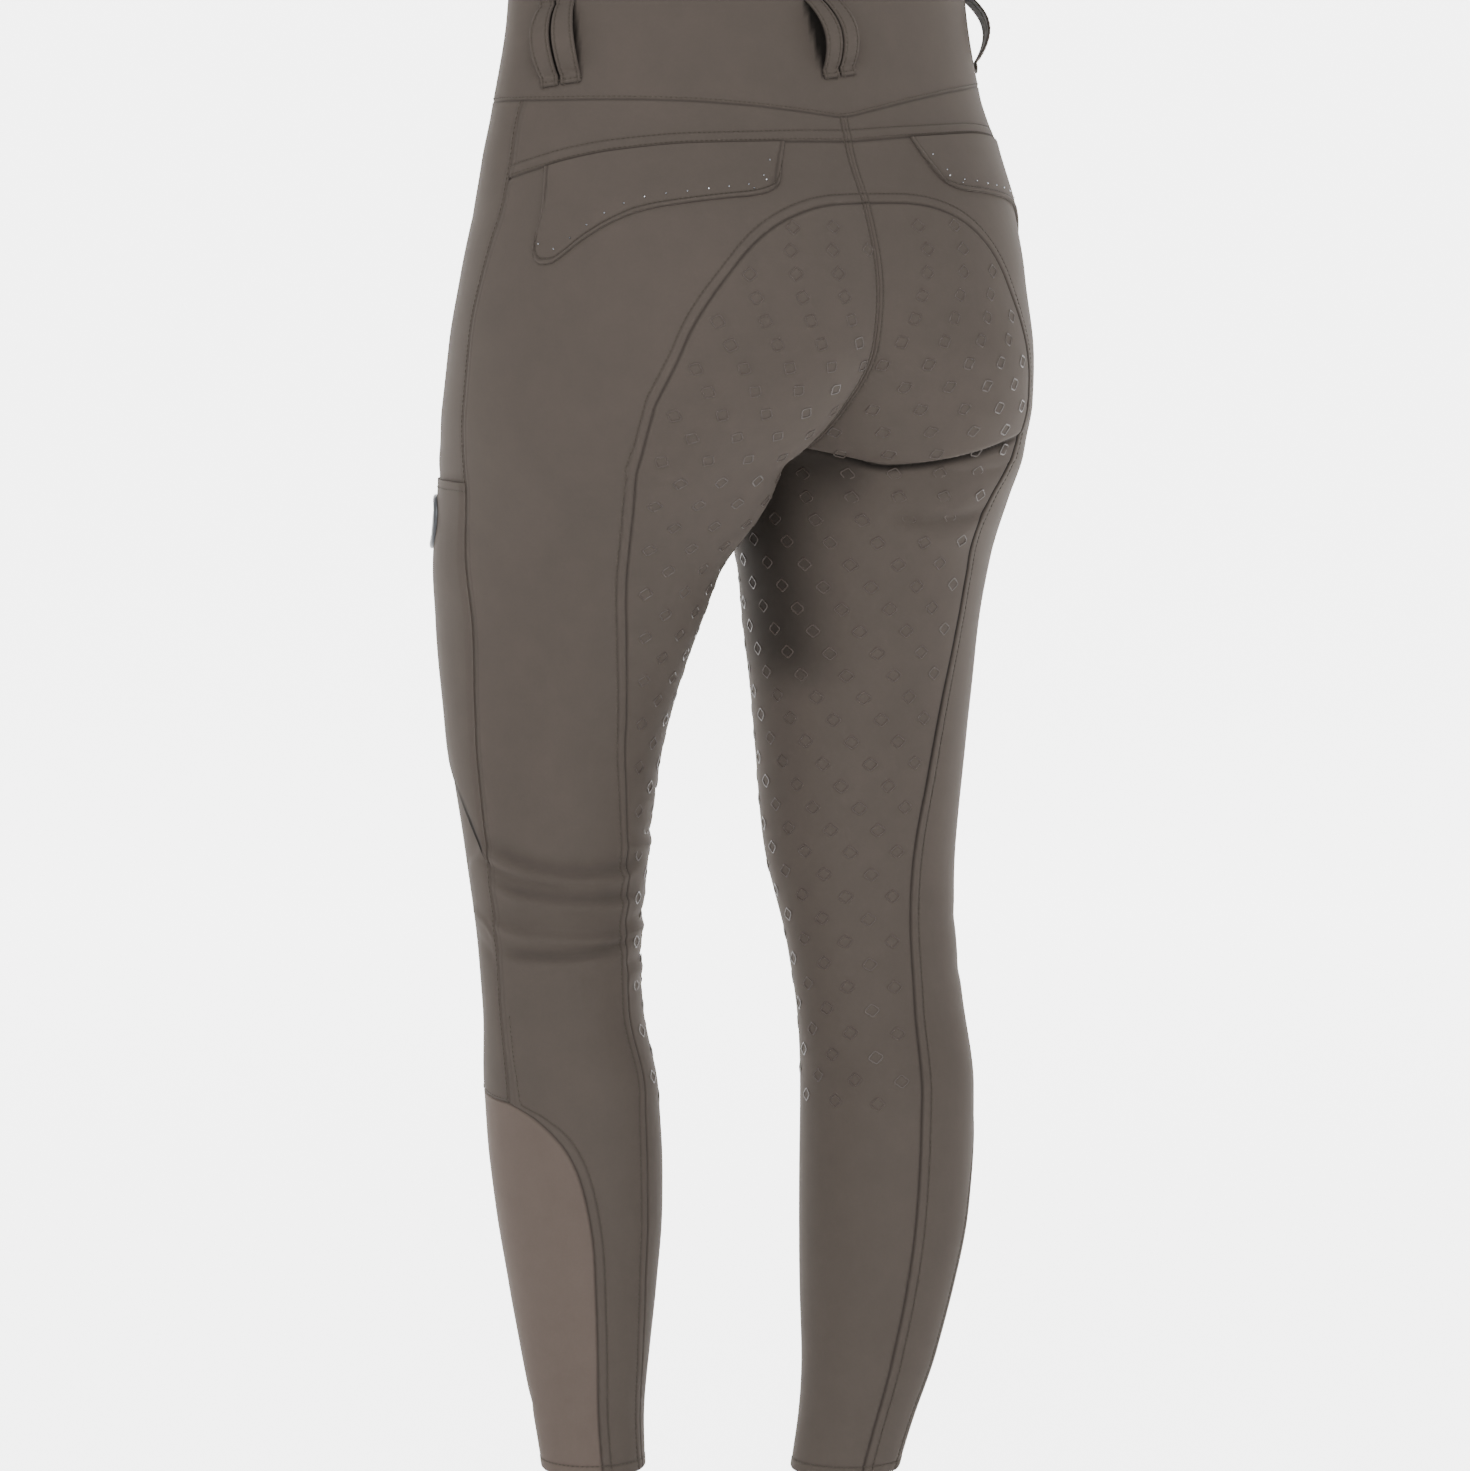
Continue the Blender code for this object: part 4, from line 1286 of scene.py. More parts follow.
@dataclass(frozen=True)
class Moulded:
    """A moulded rubber, silicone or resin: smooth, with a faint grain from its mould."""

    name: str
    colour: str
    roughness: float
    ior: float = 1.45
    grain_mm: float = 0.8
    grain_depth_mm: float = 0.02
    metallic: float = 0.0
    coat: float = 0.0
    uneven: float = 0.15  # how far its roughness strays, as a share
    bump: float = 0.3

    def build(self) -> bpy.types.Material:
        """Make the material."""
        material, shader = new_material(self.name)
        tree = material.node_tree
        place = add(tree, "ShaderNodeTexCoord").outputs["Object"]
        specks = {"Vector": place, "Scale": 1 / (self.grain_mm * MM), "Detail": 3.0}
        grain = add(tree, "ShaderNodeTexNoise", specks).outputs["Fac"]
        least = self.roughness * (1 - self.uneven)
        most = min(1.0, self.roughness * (1 + self.uneven))
        rough = add(tree, "ShaderNodeMapRange", {"Value": grain, "To Min": least, "To Max": most})
        depth = {"Strength": self.bump, "Distance": self.grain_depth_mm * MM}
        bump = add(tree, "ShaderNodeBump", {"Height": grain, **depth})
        tree.links.new(rough.outputs["Result"], shader.inputs["Roughness"])
        tree.links.new(bump.outputs["Normal"], shader.inputs["Normal"])
        shader.inputs["Base Color"].default_value = linear(self.colour)
        shader.inputs["Metallic"].default_value = self.metallic
        shader.inputs["IOR"].default_value = self.ior
        shader.inputs["Coat Weight"].default_value = self.coat
        return material


class Finishes:
    """Every finish of the breeches, built once."""

    def __init__(self) -> None:
        """Build them all."""
        # bonded polyamide jersey, piece-dyed: an even, dull brown grey
        self.jersey = Jersey("stretch_jersey", "#554d47", "#4c4540").build()
        # the thinner, elastic knit of the lower leg: paler where it is stretched, and duller
        self.calf = Jersey(
            "calf_knit", "#665b54", "#5b504a", roughness=0.9, sheen=0.09, rib_mm=1.1
        ).build()
        # spun polyester sewing thread: a shade darker than the cloth, hardly any shine
        self.thread = Moulded("polyester_thread", "#40392f", 0.7, grain_mm=0.4).build()
        # printed silicone: cured with a wet gloss over the cloth's own colour
        self.silicone = Moulded("printed_silicone", "#4a413b", 0.38, ior=1.41, coat=0.1).build()
        # cut glass on a foiled back: white sparks where a facet finds the light, dull elsewhere
        self.crystal = Moulded(
            "foiled_crystal", "#a4a7ab", 0.06, ior=1.6, metallic=1.0, coat=0.5
        ).build()
        # moulded rubber with a satin face, and its rim coated with a metallic paint
        self.rubber = Moulded("badge_rubber", "#3c3b3a", 0.42, ior=1.5).build()
        self.rim = Moulded("badge_rim", "#55575a", 0.4, metallic=0.5, ior=1.5).build()
        # cast polyester resin, tumbled to a polish
        self.resin = Moulded("button_resin", "#3b3530", 0.28, ior=1.55, coat=0.3).build()


# ----------------------------------------
# What repeats: stitches, printed motifs and crystals, each by a node tree.


class Tree:
    """A Geometry Nodes tree with named sizes, run once on a piece and then made a plain mesh."""

    def __init__(self, name: str, sizes: dict[str, float]) -> None:
        """Start a tree with a geometry input and one input for each named size.

        Args:
            name: the tree's name.
            sizes: by name, in millimetres.
        """
        self.tree = bpy.data.node_groups.new(name, "GeometryNodeTree")
        face = self.tree.interface
        face.new_socket("Geometry", in_out="INPUT", socket_type="NodeSocketGeometry")
        face.new_socket("Geometry", in_out="OUTPUT", socket_type="NodeSocketGeometry")
        self.sizes = {size: value * MM for size, value in sizes.items()}
        self.ids = {
            size: face.new_socket(size, in_out="INPUT", socket_type="NodeSocketFloat").identifier
            for size in sizes
        }
        self.into = self.add("NodeGroupInput")
        self.out = self.add("NodeGroupOutput")

    def add(self, kind: str, inputs: Inputs | None = None, **settings: Any) -> Any:
        """Add a node to the tree."""
        return add(self.tree, kind, inputs, **settings)

    def size(self, name: str) -> Any:
        """The socket of a named size."""
        return self.into.outputs[name]

    def copies(self, places: Any, shape: Any, turns: Any, scale: Any = (1, 1, 1)) -> Any:
        """Instances of a node's shape at another's points, by their rotations and scale.

        Args:
            places: the node with the points.
            shape: the shape's node.
            turns: the rotations.
            scale: the scale.

        Returns:
            Their socket.
        """
        inputs = {"Points": places.outputs[0], "Instance": shape.outputs[0]}
        inputs |= {"Rotation": turns, "Scale": scale}
        return self.add("GeometryNodeInstanceOnPoints", inputs).outputs[0]

    def end(self, instances: Any, material: bpy.types.Material) -> None:
        """Realize the instances, give them their material and put them out.

        Args:
            instances: their socket.
            material: their finish.
        """
        real = self.add("GeometryNodeRealizeInstances", {0: instances})
        finish = {"Geometry": real.outputs[0], "Material": material}
        dressed = self.add("GeometryNodeSetMaterial", finish)
        self.tree.links.new(dressed.outputs[0], self.out.inputs[0])

    def run(self, name: str, source: bpy.types.Mesh) -> bpy.types.Object:
        """Run the tree on a mesh.

        Args:
            name: the new piece's name.
            source: the mesh that its instances follow.

        Returns:
            A piece with a plain mesh and no modifier.
        """
        guide = new_object(f"{name}_guide", source)
        modifier = guide.modifiers.new("repeat", "NODES")
        modifier.node_group = self.tree
        for size, value in self.sizes.items():
            modifier[self.ids[size]] = value
        graph = bpy.context.evaluated_depsgraph_get()
        mesh = bpy.data.meshes.new_from_object(guide.evaluated_get(graph), depsgraph=graph)
        guide.modifiers.remove(modifier)
        bpy.data.objects.remove(guide)
        mesh.name = name
        smooth(mesh, SMALL_CREASE)
        return new_object(name, mesh)


def chains(name: str, paths: Sequence[Array]) -> bpy.types.Mesh:
    """A mesh of separate chains of edges, from paths in millimetres.

    Args:
        name: the mesh's name.
        paths: in millimetres.

    Returns:
        The mesh.
    """
    corners, edges, start = [], [], 0
    for path in paths:
        corners += (path * MM).tolist()
        edges += [(start + i, start + i + 1) for i in range(len(path) - 1)]
        start += len(path)
    mesh = bpy.data.meshes.new(name)
    mesh.from_pydata(corners, edges, [])
    return mesh


def markers(name: str, points: Array, out: Array, along: Array) -> bpy.types.Mesh:
    """A mesh of loose points that remember which way their surface faces and runs.

    Args:
        name: the mesh's name.
        points: in millimetres.
        out: which way the surface faces at each.
        along: which way it runs.

    Returns:
        The mesh.
    """
    mesh = bpy.data.meshes.new(name)
    mesh.from_pydata((points * MM).tolist(), [], [])
    for word, vectors in (("out", out), ("along", along)):
        attribute = mesh.attributes.new(word, "FLOAT_VECTOR", "POINT")
        attribute.data.foreach_set("vector", vectors.astype(np.float32).reshape(-1))
    return mesh


def facing(tree: Tree) -> Any:
    """The rotation that stands a shape on its marker's surface, its Y axis along it.

    Args:
        tree: the tree that it is part of.

    Returns:
        Its socket.
    """
    out, along = (
        tree.add("GeometryNodeInputNamedAttribute", {"Name": name}, data_type="FLOAT_VECTOR")
        for name in ("out", "along")
    )
    stood = tree.add("FunctionNodeAlignRotationToVector", {"Vector": out.outputs[0]}, axis="Z")
    way = {"Rotation": stood.outputs[0], "Vector": along.outputs[0]}
    turned = tree.add("FunctionNodeAlignRotationToVector", way, axis="Y", pivot_axis="Z")
    return turned.outputs[0]


@dataclass
class Topstitching:
    """Lines of stitches, gathered from the pieces that they hold."""

    pitch: float = 3.1
    stitch: float = 2.3
    thread: float = 0.65
    paths: list[Array] = field(default_factory=list)

    def sew(self, *paths: Array) -> None:
        """Add lines of stitches along these paths."""
        self.paths += [path for path in paths if len(path) > 1]

    def build(self, finishes: Finishes) -> None:
        """Make all the stitches as one piece.

        Args:
            finishes: every finish.
        """
        sizes = {"Pitch": self.pitch, "Length": self.stitch, "Thread": self.thread}
        tree = Tree("stitches", sizes)
        curve = tree.add("GeometryNodeMeshToCurve", {"Mesh": tree.into.outputs["Geometry"]})
        spaced = {"Curve": curve.outputs[0], "Length": tree.size("Pitch")}
        places = tree.add("GeometryNodeCurveToPoints", spaced, mode="LENGTH")
        shape = tree.add("GeometryNodeMeshIcoSphere", {"Radius": 0.5, "Subdivisions": 1})
        shares = {"X": tree.size("Thread"), "Y": tree.size("Thread"), "Z": tree.size("Length")}
        stretched = tree.add("ShaderNodeCombineXYZ", shares)
        turns = places.outputs["Rotation"]
        tree.end(tree.copies(places, shape, turns, stretched.outputs[0]), finishes.thread)
        ride(tree.run("topstitching", chains("stitch_lines", self.paths)), JERSEY_SLOT)


@dataclass(frozen=True)
class GripPrint:
    """Raised silicone motifs on the seat and inner legs: small open lozenges in staggered rows."""

    row_pitch: float = 14.0
    column_pitch: float = 30.0
    from_seam: float = 13.0
    to_middle: float = 7.0
    top: float = -128.0
    foot: float = -678.0
    long: float = 8.4
    wide: float = 10.4
    cord: float = 0.48  # half the width of the ring's line
    corner: float = 1.3
    flatness: float = 0.75  # of that line, which is a little lower than it is wide
    probes: int = 120  # places along a row at which its length is measured

    def outer_angle(self, side: Side, height: float) -> float:
        """The angle of the seat panel's outer seam at a height.

        Args:
            side: the half.
            height: millimetres up.

        Returns:
            The angle, in degrees.
        """
        if height < SEAMS.dome_height:
            return float(through(SEAT_SEAM[side], np.array([height]))[0])
        rows = LINES[side]["dome"].rows
        return float(np.interp(-height, -rows[:, 1], FORM.angles(rows[:, 0], rows[:, 1])))

    def places(self, side: Side) -> tuple[Array, Array]:
        """Angles and heights of the motifs of one half.

        Args:
            side: the half.

        Returns:
            The angles and the heights.
        """
        angles: list[float] = []
        heights: list[float] = []
        for number, height in enumerate(np.arange(self.top, self.foot, -self.row_pitch)):
            stop = self.outer_angle(side, height)
            start = float(FORM.edges(np.array([height]))[0][0])
            fine = np.linspace(stop, start, self.probes)
            passed = lengths_along(FORM.points(side, fine, height), 0)
            first = self.from_seam + self.column_pitch / 2 * (number % 2)
            offsets = np.arange(first, passed[-1] - self.to_middle, self.column_pitch)
            angles += np.interp(offsets, passed, fine).tolist()
            heights += [float(height)] * len(offsets)
        return np.array(angles), np.array(heights)

    def build(self, side: Side, finishes: Finishes) -> None:
        """Print one half.

        Args:
            side: the half.
            finishes: every finish.
        """
        angles, heights = self.places(side)
        out = FORM.normals(side, angles, heights)
        rise = CREASES.read(side, angles, heights)[0][:, None]
        over, under = (FORM.points(side, angles, heights + way) for way in (0.5, -0.5))
        points = FORM.points(side, angles, heights) + out * rise
        source = markers("grip_marks", points, out, unit(over - under))
        sizes = {"Wide": self.wide, "Half": self.long / 2, "Corner": self.corner, "Cord": self.cord}
        tree = Tree("lozenges", sizes)
        half = tree.size("Half")
        kite = {"Width": tree.size("Wide"), "Bottom Height": half, "Top Height": half}
        outline = tree.add("GeometryNodeCurvePrimitiveQuadrilateral", kite, mode="KITE")
        corner = {"Curve": outline.outputs[0], "Count": 3, "Radius": tree.size("Corner")}
        rounded = tree.add("GeometryNodeFilletCurve", corner, mode="POLY")
        line = {"Resolution": 6, "Radius": tree.size("Cord")}
        section = tree.add("GeometryNodeCurvePrimitiveCircle", line, mode="RADIUS")
        swept = {"Curve": rounded.outputs[0], "Profile Curve": section.outputs[0]}
        ring = tree.add("GeometryNodeCurveToMesh", swept)
        low = (1.0, 1.0, self.flatness)
        tree.end(tree.copies(tree.into, ring, facing(tree), low), finishes.silicone)
        ride(tree.run(f"grip_print_{side.word}", source), JERSEY_SLOT)


@dataclass
class Crystals:
    """Small cut stones along the lower edges of the pocket flaps."""

    radius: float = 0.68
    table: float = 0.34
    height: float = 0.45
    facets: int = 8
    pitch: float = 13.0
    tilt: float = 0.22  # how unevenly the stones are set, as a share of their way out
    seed: int = 5
    points: list[Array] = field(default_factory=list)
    out: list[Array] = field(default_factory=list)

    def set_along(self, path: Array, out: Array) -> None:
        """Set stones along a path, at the pitch.

        Args:
            path: points in millimetres.
            out: normals at them.
        """
        passed = lengths_along(path, 0)
        places = np.arange(self.pitch / 2, passed[-1], self.pitch)
        points, normals = (
            np.stack([np.interp(places, passed, column) for column in rows.T], -1)
            for rows in (path, out)
        )
        self.points.append(points)
        self.out.append(unit(normals))

    def build(self, finishes: Finishes) -> None:
        """Make all the stones as one piece.

        Args:
            finishes: every finish.
        """
        points, out = np.concatenate(self.points), np.concatenate(self.out)
        out = unit(out + self.tilt * np.random.default_rng(self.seed).normal(size=out.shape))
        along = np.tile(np.array([0.0, 0.0, 1.0]), (len(points), 1))
        sizes = {"Foot": self.radius, "Table": self.table, "Height": self.height}
        tree = Tree("stones", sizes)
        foot, table, height = (tree.size(name) for name in sizes)
        cut = {"Radius Bottom": foot, "Radius Top": table, "Depth": height}
        stone = tree.add("GeometryNodeMeshCone", {"Vertices": self.facets, **cut})
        tree.end(tree.copies(tree.into, stone, facing(tree)), finishes.crystal)
        piece = tree.run("flap_crystals", markers("crystal_marks", points, out, along))
        piece.data.shade_flat()
        ride(piece, JERSEY_SLOT)


# ----------------------------------------
# Pieces


def ride(piece: bpy.types.Object, slot: str, *nodes: str) -> None:
    """Let a piece ride on the body, and hide the nodes that it replaces.

    Args:
        piece: the piece.
        slot: its slot's name, not used.
        nodes: the names of those nodes.
    """
    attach(piece, BODY)
    if nodes:
        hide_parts(*nodes)
    log.info("%s: %d faces", piece.name, len(piece.data.polygons))


def lay(
    cloth: Cloth,
    name: str,
    thickness: float,
    material: bpy.types.Material,
    slot: str = JERSEY_SLOT,
) -> None:
    """Make a piece of cloth and let it replace its node.

    Args:
        cloth: the grid.
        name: the node that it replaces.
        thickness: of the cloth, in millimetres.
        material: its finish.
        slot: the record's material slot.
    """
    piece = cloth.make(f"{name}_cloth", thickness, material)
    ride(piece, slot, name)


@dataclass
class Leg:
    """The cut panels of one half."""

    side: Side
    cloth_thickness: float = 1.4
    calf_thickness: float = 1.2
    felled: float = 2.7  # from a felled seam to its stitches
    beside: float = 1.6  # and from the yoke's lower edge
    twin: float = 7.5  # and to the second line there
    banded: float = 6.5
    front: float = 1.8
    hem: float = 7.0
    felled_part: float = 0.34  # share of the inner edge of the seat that is felled
    calf_part: float = 0.72  # share of the outer edge of the back above its stitched foot
    front_start: float = 0.02

    def build(self, finishes: Finishes, stitching: Topstitching) -> None:
        """Make the yoke, back, seat, front and calf panels and sew their seams.

        Args:
            finishes: every finish.
            stitching: takes the piece's lines of stitches.
        """
        word = self.side.word
        lines = LINES[self.side]
        waist, yoke_foot = lines["waist"].worked(Work.FINE), lines["yoke"].worked(Work.STITCHED)
        yoke = Panel(self.side, waist, yoke_foot).cloth(Work.FELLED, Work.SOFT)
        below_yoke = lines["side"].worked(Work.SOFT).then(lines["calf"].worked(Work.BANDED))
        back_outer = lines["yoke"].then(below_yoke)
        round_seat = lines["dome"].then(lines["seat"])
        back_inner = round_seat.worked(Work.BANDED)
        if self.side is Side.RIGHT:
            # on this side the raised band keeps the light off the seam, so its shade is painted
            # darker
            round_seat, back_inner = round_seat.deepened(), back_inner.deepened()
        back = Panel(self.side, back_inner, back_outer).cloth(Work.FELLED, Work.HEMMED)
        middle = lines["centre_back"].worked(Work.FELLED).then(lines["inner_back"])
        seat = Panel(self.side, middle, round_seat).cloth(Work.NONE, Work.HEMMED)
        front_side = lines["side_waist"].then(lines["side"]).worked(Work.SOFT)
        front_edge = lines["centre_front"].then(lines["inner_front"])
        front = FrontPanel(self.side, front_side, front_edge).cloth(Work.FINE, Work.PLAIN)
        calf_sides = lines["calf"], lines["inner_calf"]
        calf = Panel(self.side, *calf_sides).cloth(Work.PLAIN, Work.HEMMED)
        for name, cloth in (("yoke", yoke), ("back", back), ("seat", seat), ("front", front)):
            lay(cloth, f"{name}_{word}", self.cloth_thickness, finishes.jersey)
        lay(calf, f"calf_{word}", self.calf_thickness, finishes.calf, "calf_knit")
        stitching.sew(
            yoke.path(Border.LAST, self.twin),
            yoke.path(Border.LAST, self.beside),
            back.path(Border.FIRST, self.banded),
            back.path(Border.FOOT, self.hem),
            seat.path(Border.FOOT, self.hem),
            calf.path(Border.FOOT, self.hem),
            front.path(Border.FIRST, self.front, start=self.front_start),
            front.path(Border.FOOT, self.front),
            back.path(Border.TOP, self.felled),
            yoke.path(Border.TOP, self.felled),
            seat.path(Border.FIRST, self.felled, stop=self.felled_part),
            back.path(Border.LAST, self.banded, start=self.calf_part),
        )


@dataclass
class Waistband:
    """The deep band round the waist, its ends meeting at the centre front."""

    thickness: float = 2.2
    front_run: float = 195.0  # from the side seam to the centre front
    edge: float = 2.2  # from the top edge to its stitches
    seam: float = 1.8  # and from the seam below

    def build(self, finishes: Finishes, stitching: Topstitching) -> None:
        """Make the band and its stitching.

        Args:
            finishes: every finish.
            stitching: takes the piece's lines of stitches.
        """
        lines = LINES[Side.LEFT]
        front = lines["side_waist"].rows[0], lines["centre_front"].rows[0]
        ends = 1 - np.array(NEAR)[::-1] / self.front_run
        t = np.concatenate([np.linspace(0, ends[0], SEAMS.hip_rows + 1)[1:], ends[1:]])[:, None]
        half = np.concatenate([lines["waist"].rows, front[0] * (1 - t) + front[1] * t])
        top = half.copy()
        top[:, 1] = SEAMS.waist_top
        depth, square = SEAMS.waist_top - SEAMS.waist_front, np.ones(len(half))
        shares = spread(np.full(len(half), depth), square, square, SPACING)[..., None]
        rows = top[:, None] * (1 - shares) + half[:, None] * shares
        angles, heights = FORM.angles(rows[..., 0], rows[..., 1]), rows[..., 1]
        halves = []
        for side in (Side.RIGHT, Side.LEFT):
            found = (
                FORM.points(side, angles, heights),
                FORM.normals(side, angles, heights),
                BeltLoops().shadows(side, angles, heights),
            )
            halves.append([grid[:0:-1] if side is Side.RIGHT else grid for grid in found])
        points, normals, shadows = (np.concatenate(grids) for grids in zip(*halves))
        works = {
            Border.FIRST: Work.TURNED.rows(len(points)),
            Border.LAST: Work.FINE.rows(len(points)),
            Border.TOP: Work.TURNED.rows(),
            Border.FOOT: Work.TURNED.rows(),
        }
        cloth = Cloth(points, normals, works, shadows)
        lay(cloth, "waistband", self.thickness, finishes.jersey)
        stitching.sew(cloth.path(Border.FIRST, self.edge), cloth.path(Border.LAST, self.seam))


FLAP_EDGE = (  # angle, height of the lower edge, from the inner corner outwards
    (99.5, -97), (100.5, -102.5), (103.5, -106.5), (108, -108.5), (114, -109.5), (122, -111.5),
    (131, -114.5), (138, -118.5), (143, -123.5), (148, -130.5), (153, -139), (156.5, -146),
    (159.5, -150), (162, -150.5), (164.3, -147), (165, -140),
)


class FlapPanel(Panel):
    """A flap, whose outer end bows out a little between its corners."""

    bow: float = 0.022  # in shares
    bow_power: float = 8

    def grid(self, t: Array) -> tuple[Array, Array]:
        """Angles and heights at shares t of the way along each row.

        Args:
            t: the shares.

        Returns:
            The angles and the heights.
        """
        first, last = self.first.rows[:, None], self.last.rows[:, None]
        rows = first * (1 - t[..., None]) + last * t[..., None]
        outwards = np.linspace(0, 1, len(rows))[:, None] ** self.bow_power
        shares = rows[..., 0] + self.bow * outwards * t * (1 - t)
        return FORM.angles(shares, rows[..., 1]), rows[..., 1]


@dataclass
class Flap:
    """A curved mock pocket flap that hangs from the yoke seam."""

    side: Side
    thickness: float = 1.3
    lift: float = 0.2
    under_yoke: float = 0.6
    slant: float = 0.954  # the upper edge's run round the hip, as a share of the lower one's
    rows: int = 110
    arc: float = 2.0  # millimetres for each degree, for spacing its lower edge
    edge: float = 2.9  # from its edge to the stitches
    stone_inset: float = 7.0
    stone_rise: float = 0.25
    stone_runs: tuple[tuple[Border, float, float], ...] = (  # shares of those borders
        (Border.LAST, 0.22, 0.88),
        (Border.TOP, 0.3, 0.85),
    )

    def outline(self) -> tuple[Array, Array]:
        """The flap's lower edge, evenly spaced along it, and its top over each place."""
        knots = np.array(FLAP_EDGE, float)
        steps = np.hypot(np.diff(knots[:, 0]) * self.arc, np.diff(knots[:, 1]))
        passed = np.concatenate([[0], np.cumsum(steps)])
        places = np.linspace(0, passed[-1], self.rows + 1)
        rows = smooth_columns(np.column_stack([-passed, knots]), -places)
        over = rows[0, 0] + (rows[:, 0] - rows[0, 0]) * self.slant
        return rows, np.stack([over, through(YOKE_SEAM, over) - self.under_yoke], -1)

    def build(self, finishes: Finishes, stitching: Topstitching, crystals: Crystals) -> None:
        """Make the flap, its edge stitching and its row of stones.

        Args:
            finishes: every finish.
            stitching: takes the piece's lines of stitches.
            crystals: takes its stones.
        """
        low, high = self.outline()
        first = Line.of(Seams.seam(high[:, 0], high[:, 1]), Work.NONE)
        last = Line.of(Seams.seam(low[:, 0], low[:, 1]), Work.PIPED)
        panel = FlapPanel(self.side, first, last, lift=self.lift + self.thickness)
        cloth = panel.cloth(Work.PIPED, Work.PIPED)
        word = self.side.word
        lay(cloth, f"flap_{word}", self.thickness, finishes.jersey)
        stitching.sew(cloth.path(Border.LAST, self.edge))
        angles, heights = low[:, 0], low[:, 1] + self.stone_inset
        places = FORM.points(self.side, angles, heights)
        normals = FORM.normals(self.side, angles, heights)
        for border, start, stop in self.stone_runs:
            path = cloth.path(border, self.stone_inset, self.stone_rise, start, stop)
            nearest = [int(np.argmin(np.linalg.norm(places - point, axis=-1))) for point in path]
            crystals.set_along(path, normals[nearest])


class PocketPanel(Panel):
    """A flat pocket, whose lower edge is cut in a shallow hollow."""

    hollow: float = 19.5  # in millimetres
    hollow_power: float = 3

    def grid(self, t: Array) -> tuple[Array, Array]:
        """Angles and heights at shares t of the way along each row.

        Args:
            t: the shares.

        Returns:
            The angles and the heights.
        """
        angles, heights = super().grid(t)
        down = np.linspace(0, 1, len(heights))[:, None] ** self.hollow_power
        return angles, heights + self.hollow * down * 4 * t * (1 - t)


@dataclass
class ThighPocket:
    """The flat pocket on the left thigh, caught in the side seam and cut on a slant below."""

    top: float = -284
    foot_side: float = -524
    foot_front: float = -440
    front_angle: float = 248
    hidden: float = 0.35  # of its rear edge from the seam, in degrees
    thickness: float = 1.2
    lift: float = 0.2
    sunk: float = 0.5  # how far over the cloth its rear edge is
    rise_run: float = 7.0  # how far from there it reaches its full lift
    rows: int = 60
    mouth: float = 5.0  # from its top to the stitches
    edge: float = 2.2  # and from its front edge
    gape: float = 3.4  # half the width of its lower edge's shadow
    least_gape: float = 0.25  # share of that width where the edge lies close
    gape_groove: float = 0.15
    gape_dark: float = 0.97
    opens: tuple[float, float] = (0.025, 0.05)  # shares of its width: from where, and over how much
    closes: tuple[float, float] = (0.2, 0.5)

    def build(self, finishes: Finishes, stitching: Topstitching) -> None:
        """Make the pocket and its stitching.

        Args:
            finishes: every finish.
            stitching: takes the piece's lines of stitches.
        """
        rear_heights = np.linspace(self.top, self.foot_side, self.rows + 1)
        rear = Seams.seam(through(SIDE_SEAM, rear_heights) + self.hidden, rear_heights)
        front_heights = np.linspace(self.top, self.foot_front, self.rows + 1)
        before = Seams.seam(np.full(self.rows + 1, self.front_angle), front_heights)
        panel = PocketPanel(Side.LEFT, Line.of(rear, Work.NONE), Line.of(before, Work.TURNED))
        away = lengths_along(panel.points, 1)
        lift = self.sunk + (self.lift + self.thickness - self.sunk) * ease(away / self.rise_run)
        panel.points = panel.points + panel.normals * lift[..., None]
        # its lower edge gapes a little, most of all behind its middle: painted shadow in the gap
        passed = away[-1] / away[-1, -1]
        opened, closed = (
            ease((passed - start) / run) for start, run in (self.opens, self.closes)
        )
        gape = opened * (1 - closed)
        edge = Work.TURNED.rows(len(passed))
        edge[:, GROOVE] += self.gape_groove * gape
        edge[:, REACH] = self.gape * (self.least_gape + (1 - self.least_gape) * gape)
        edge[:, DARK] += (self.gape_dark - edge[:, DARK]) * gape
        cloth = panel.cloth(Work.NONE, edge)
        lay(cloth, "thigh_pocket", self.thickness, finishes.jersey)
        stitching.sew(cloth.path(Border.TOP, self.mouth), cloth.path(Border.LAST, self.edge))


@dataclass
class Fly:
    """The fly facing beside the centre front, rounded in at its foot."""

    top: float = -51
    bend: float = -165
    end: float = -205
    outer_share: float = 0.935
    inner_share: float = 0.997
    rows: int = 60
    roundness: float = 0.96  # of its foot
    edge: float = 2.2  # from its outer edge to the stitches
    thickness: float = 1.2
    lift: float = 0.2

    def build(self, finishes: Finishes, stitching: Topstitching) -> None:
        """Make the facing and its stitching.

        Args:
            finishes: every finish.
            stitching: takes the piece's lines of stitches.
        """
        heights = np.linspace(self.top, self.end, self.rows + 1)
        bend = np.clip((self.bend - heights) / (self.bend - self.end), 0, 1)
        narrowed = np.sqrt(1 - self.roundness * bend**2)
        width = (self.inner_share - self.outer_share) * narrowed
        outer = Line.of(np.stack([self.inner_share - width, heights], -1), Work.TURNED)
        inner = Line.of(Seams.edge(self.inner_share, heights), Work.TURNED)
        panel = Panel(Side.LEFT, outer, inner, lift=self.lift + self.thickness)
        cloth = panel.cloth(Work.PLAIN, Work.TURNED)
        lay(cloth, "fly", self.thickness, finishes.jersey)
        stitching.sew(cloth.path(Border.FIRST, self.edge))


class Strap(NamedTuple):
    """Where a pair of belt loops is sewn on."""

    name: str
    side: Side
    angle: float
    lean: float
    tilt: float = 0.0  # of its ends, as a rise for each millimetre round the waist


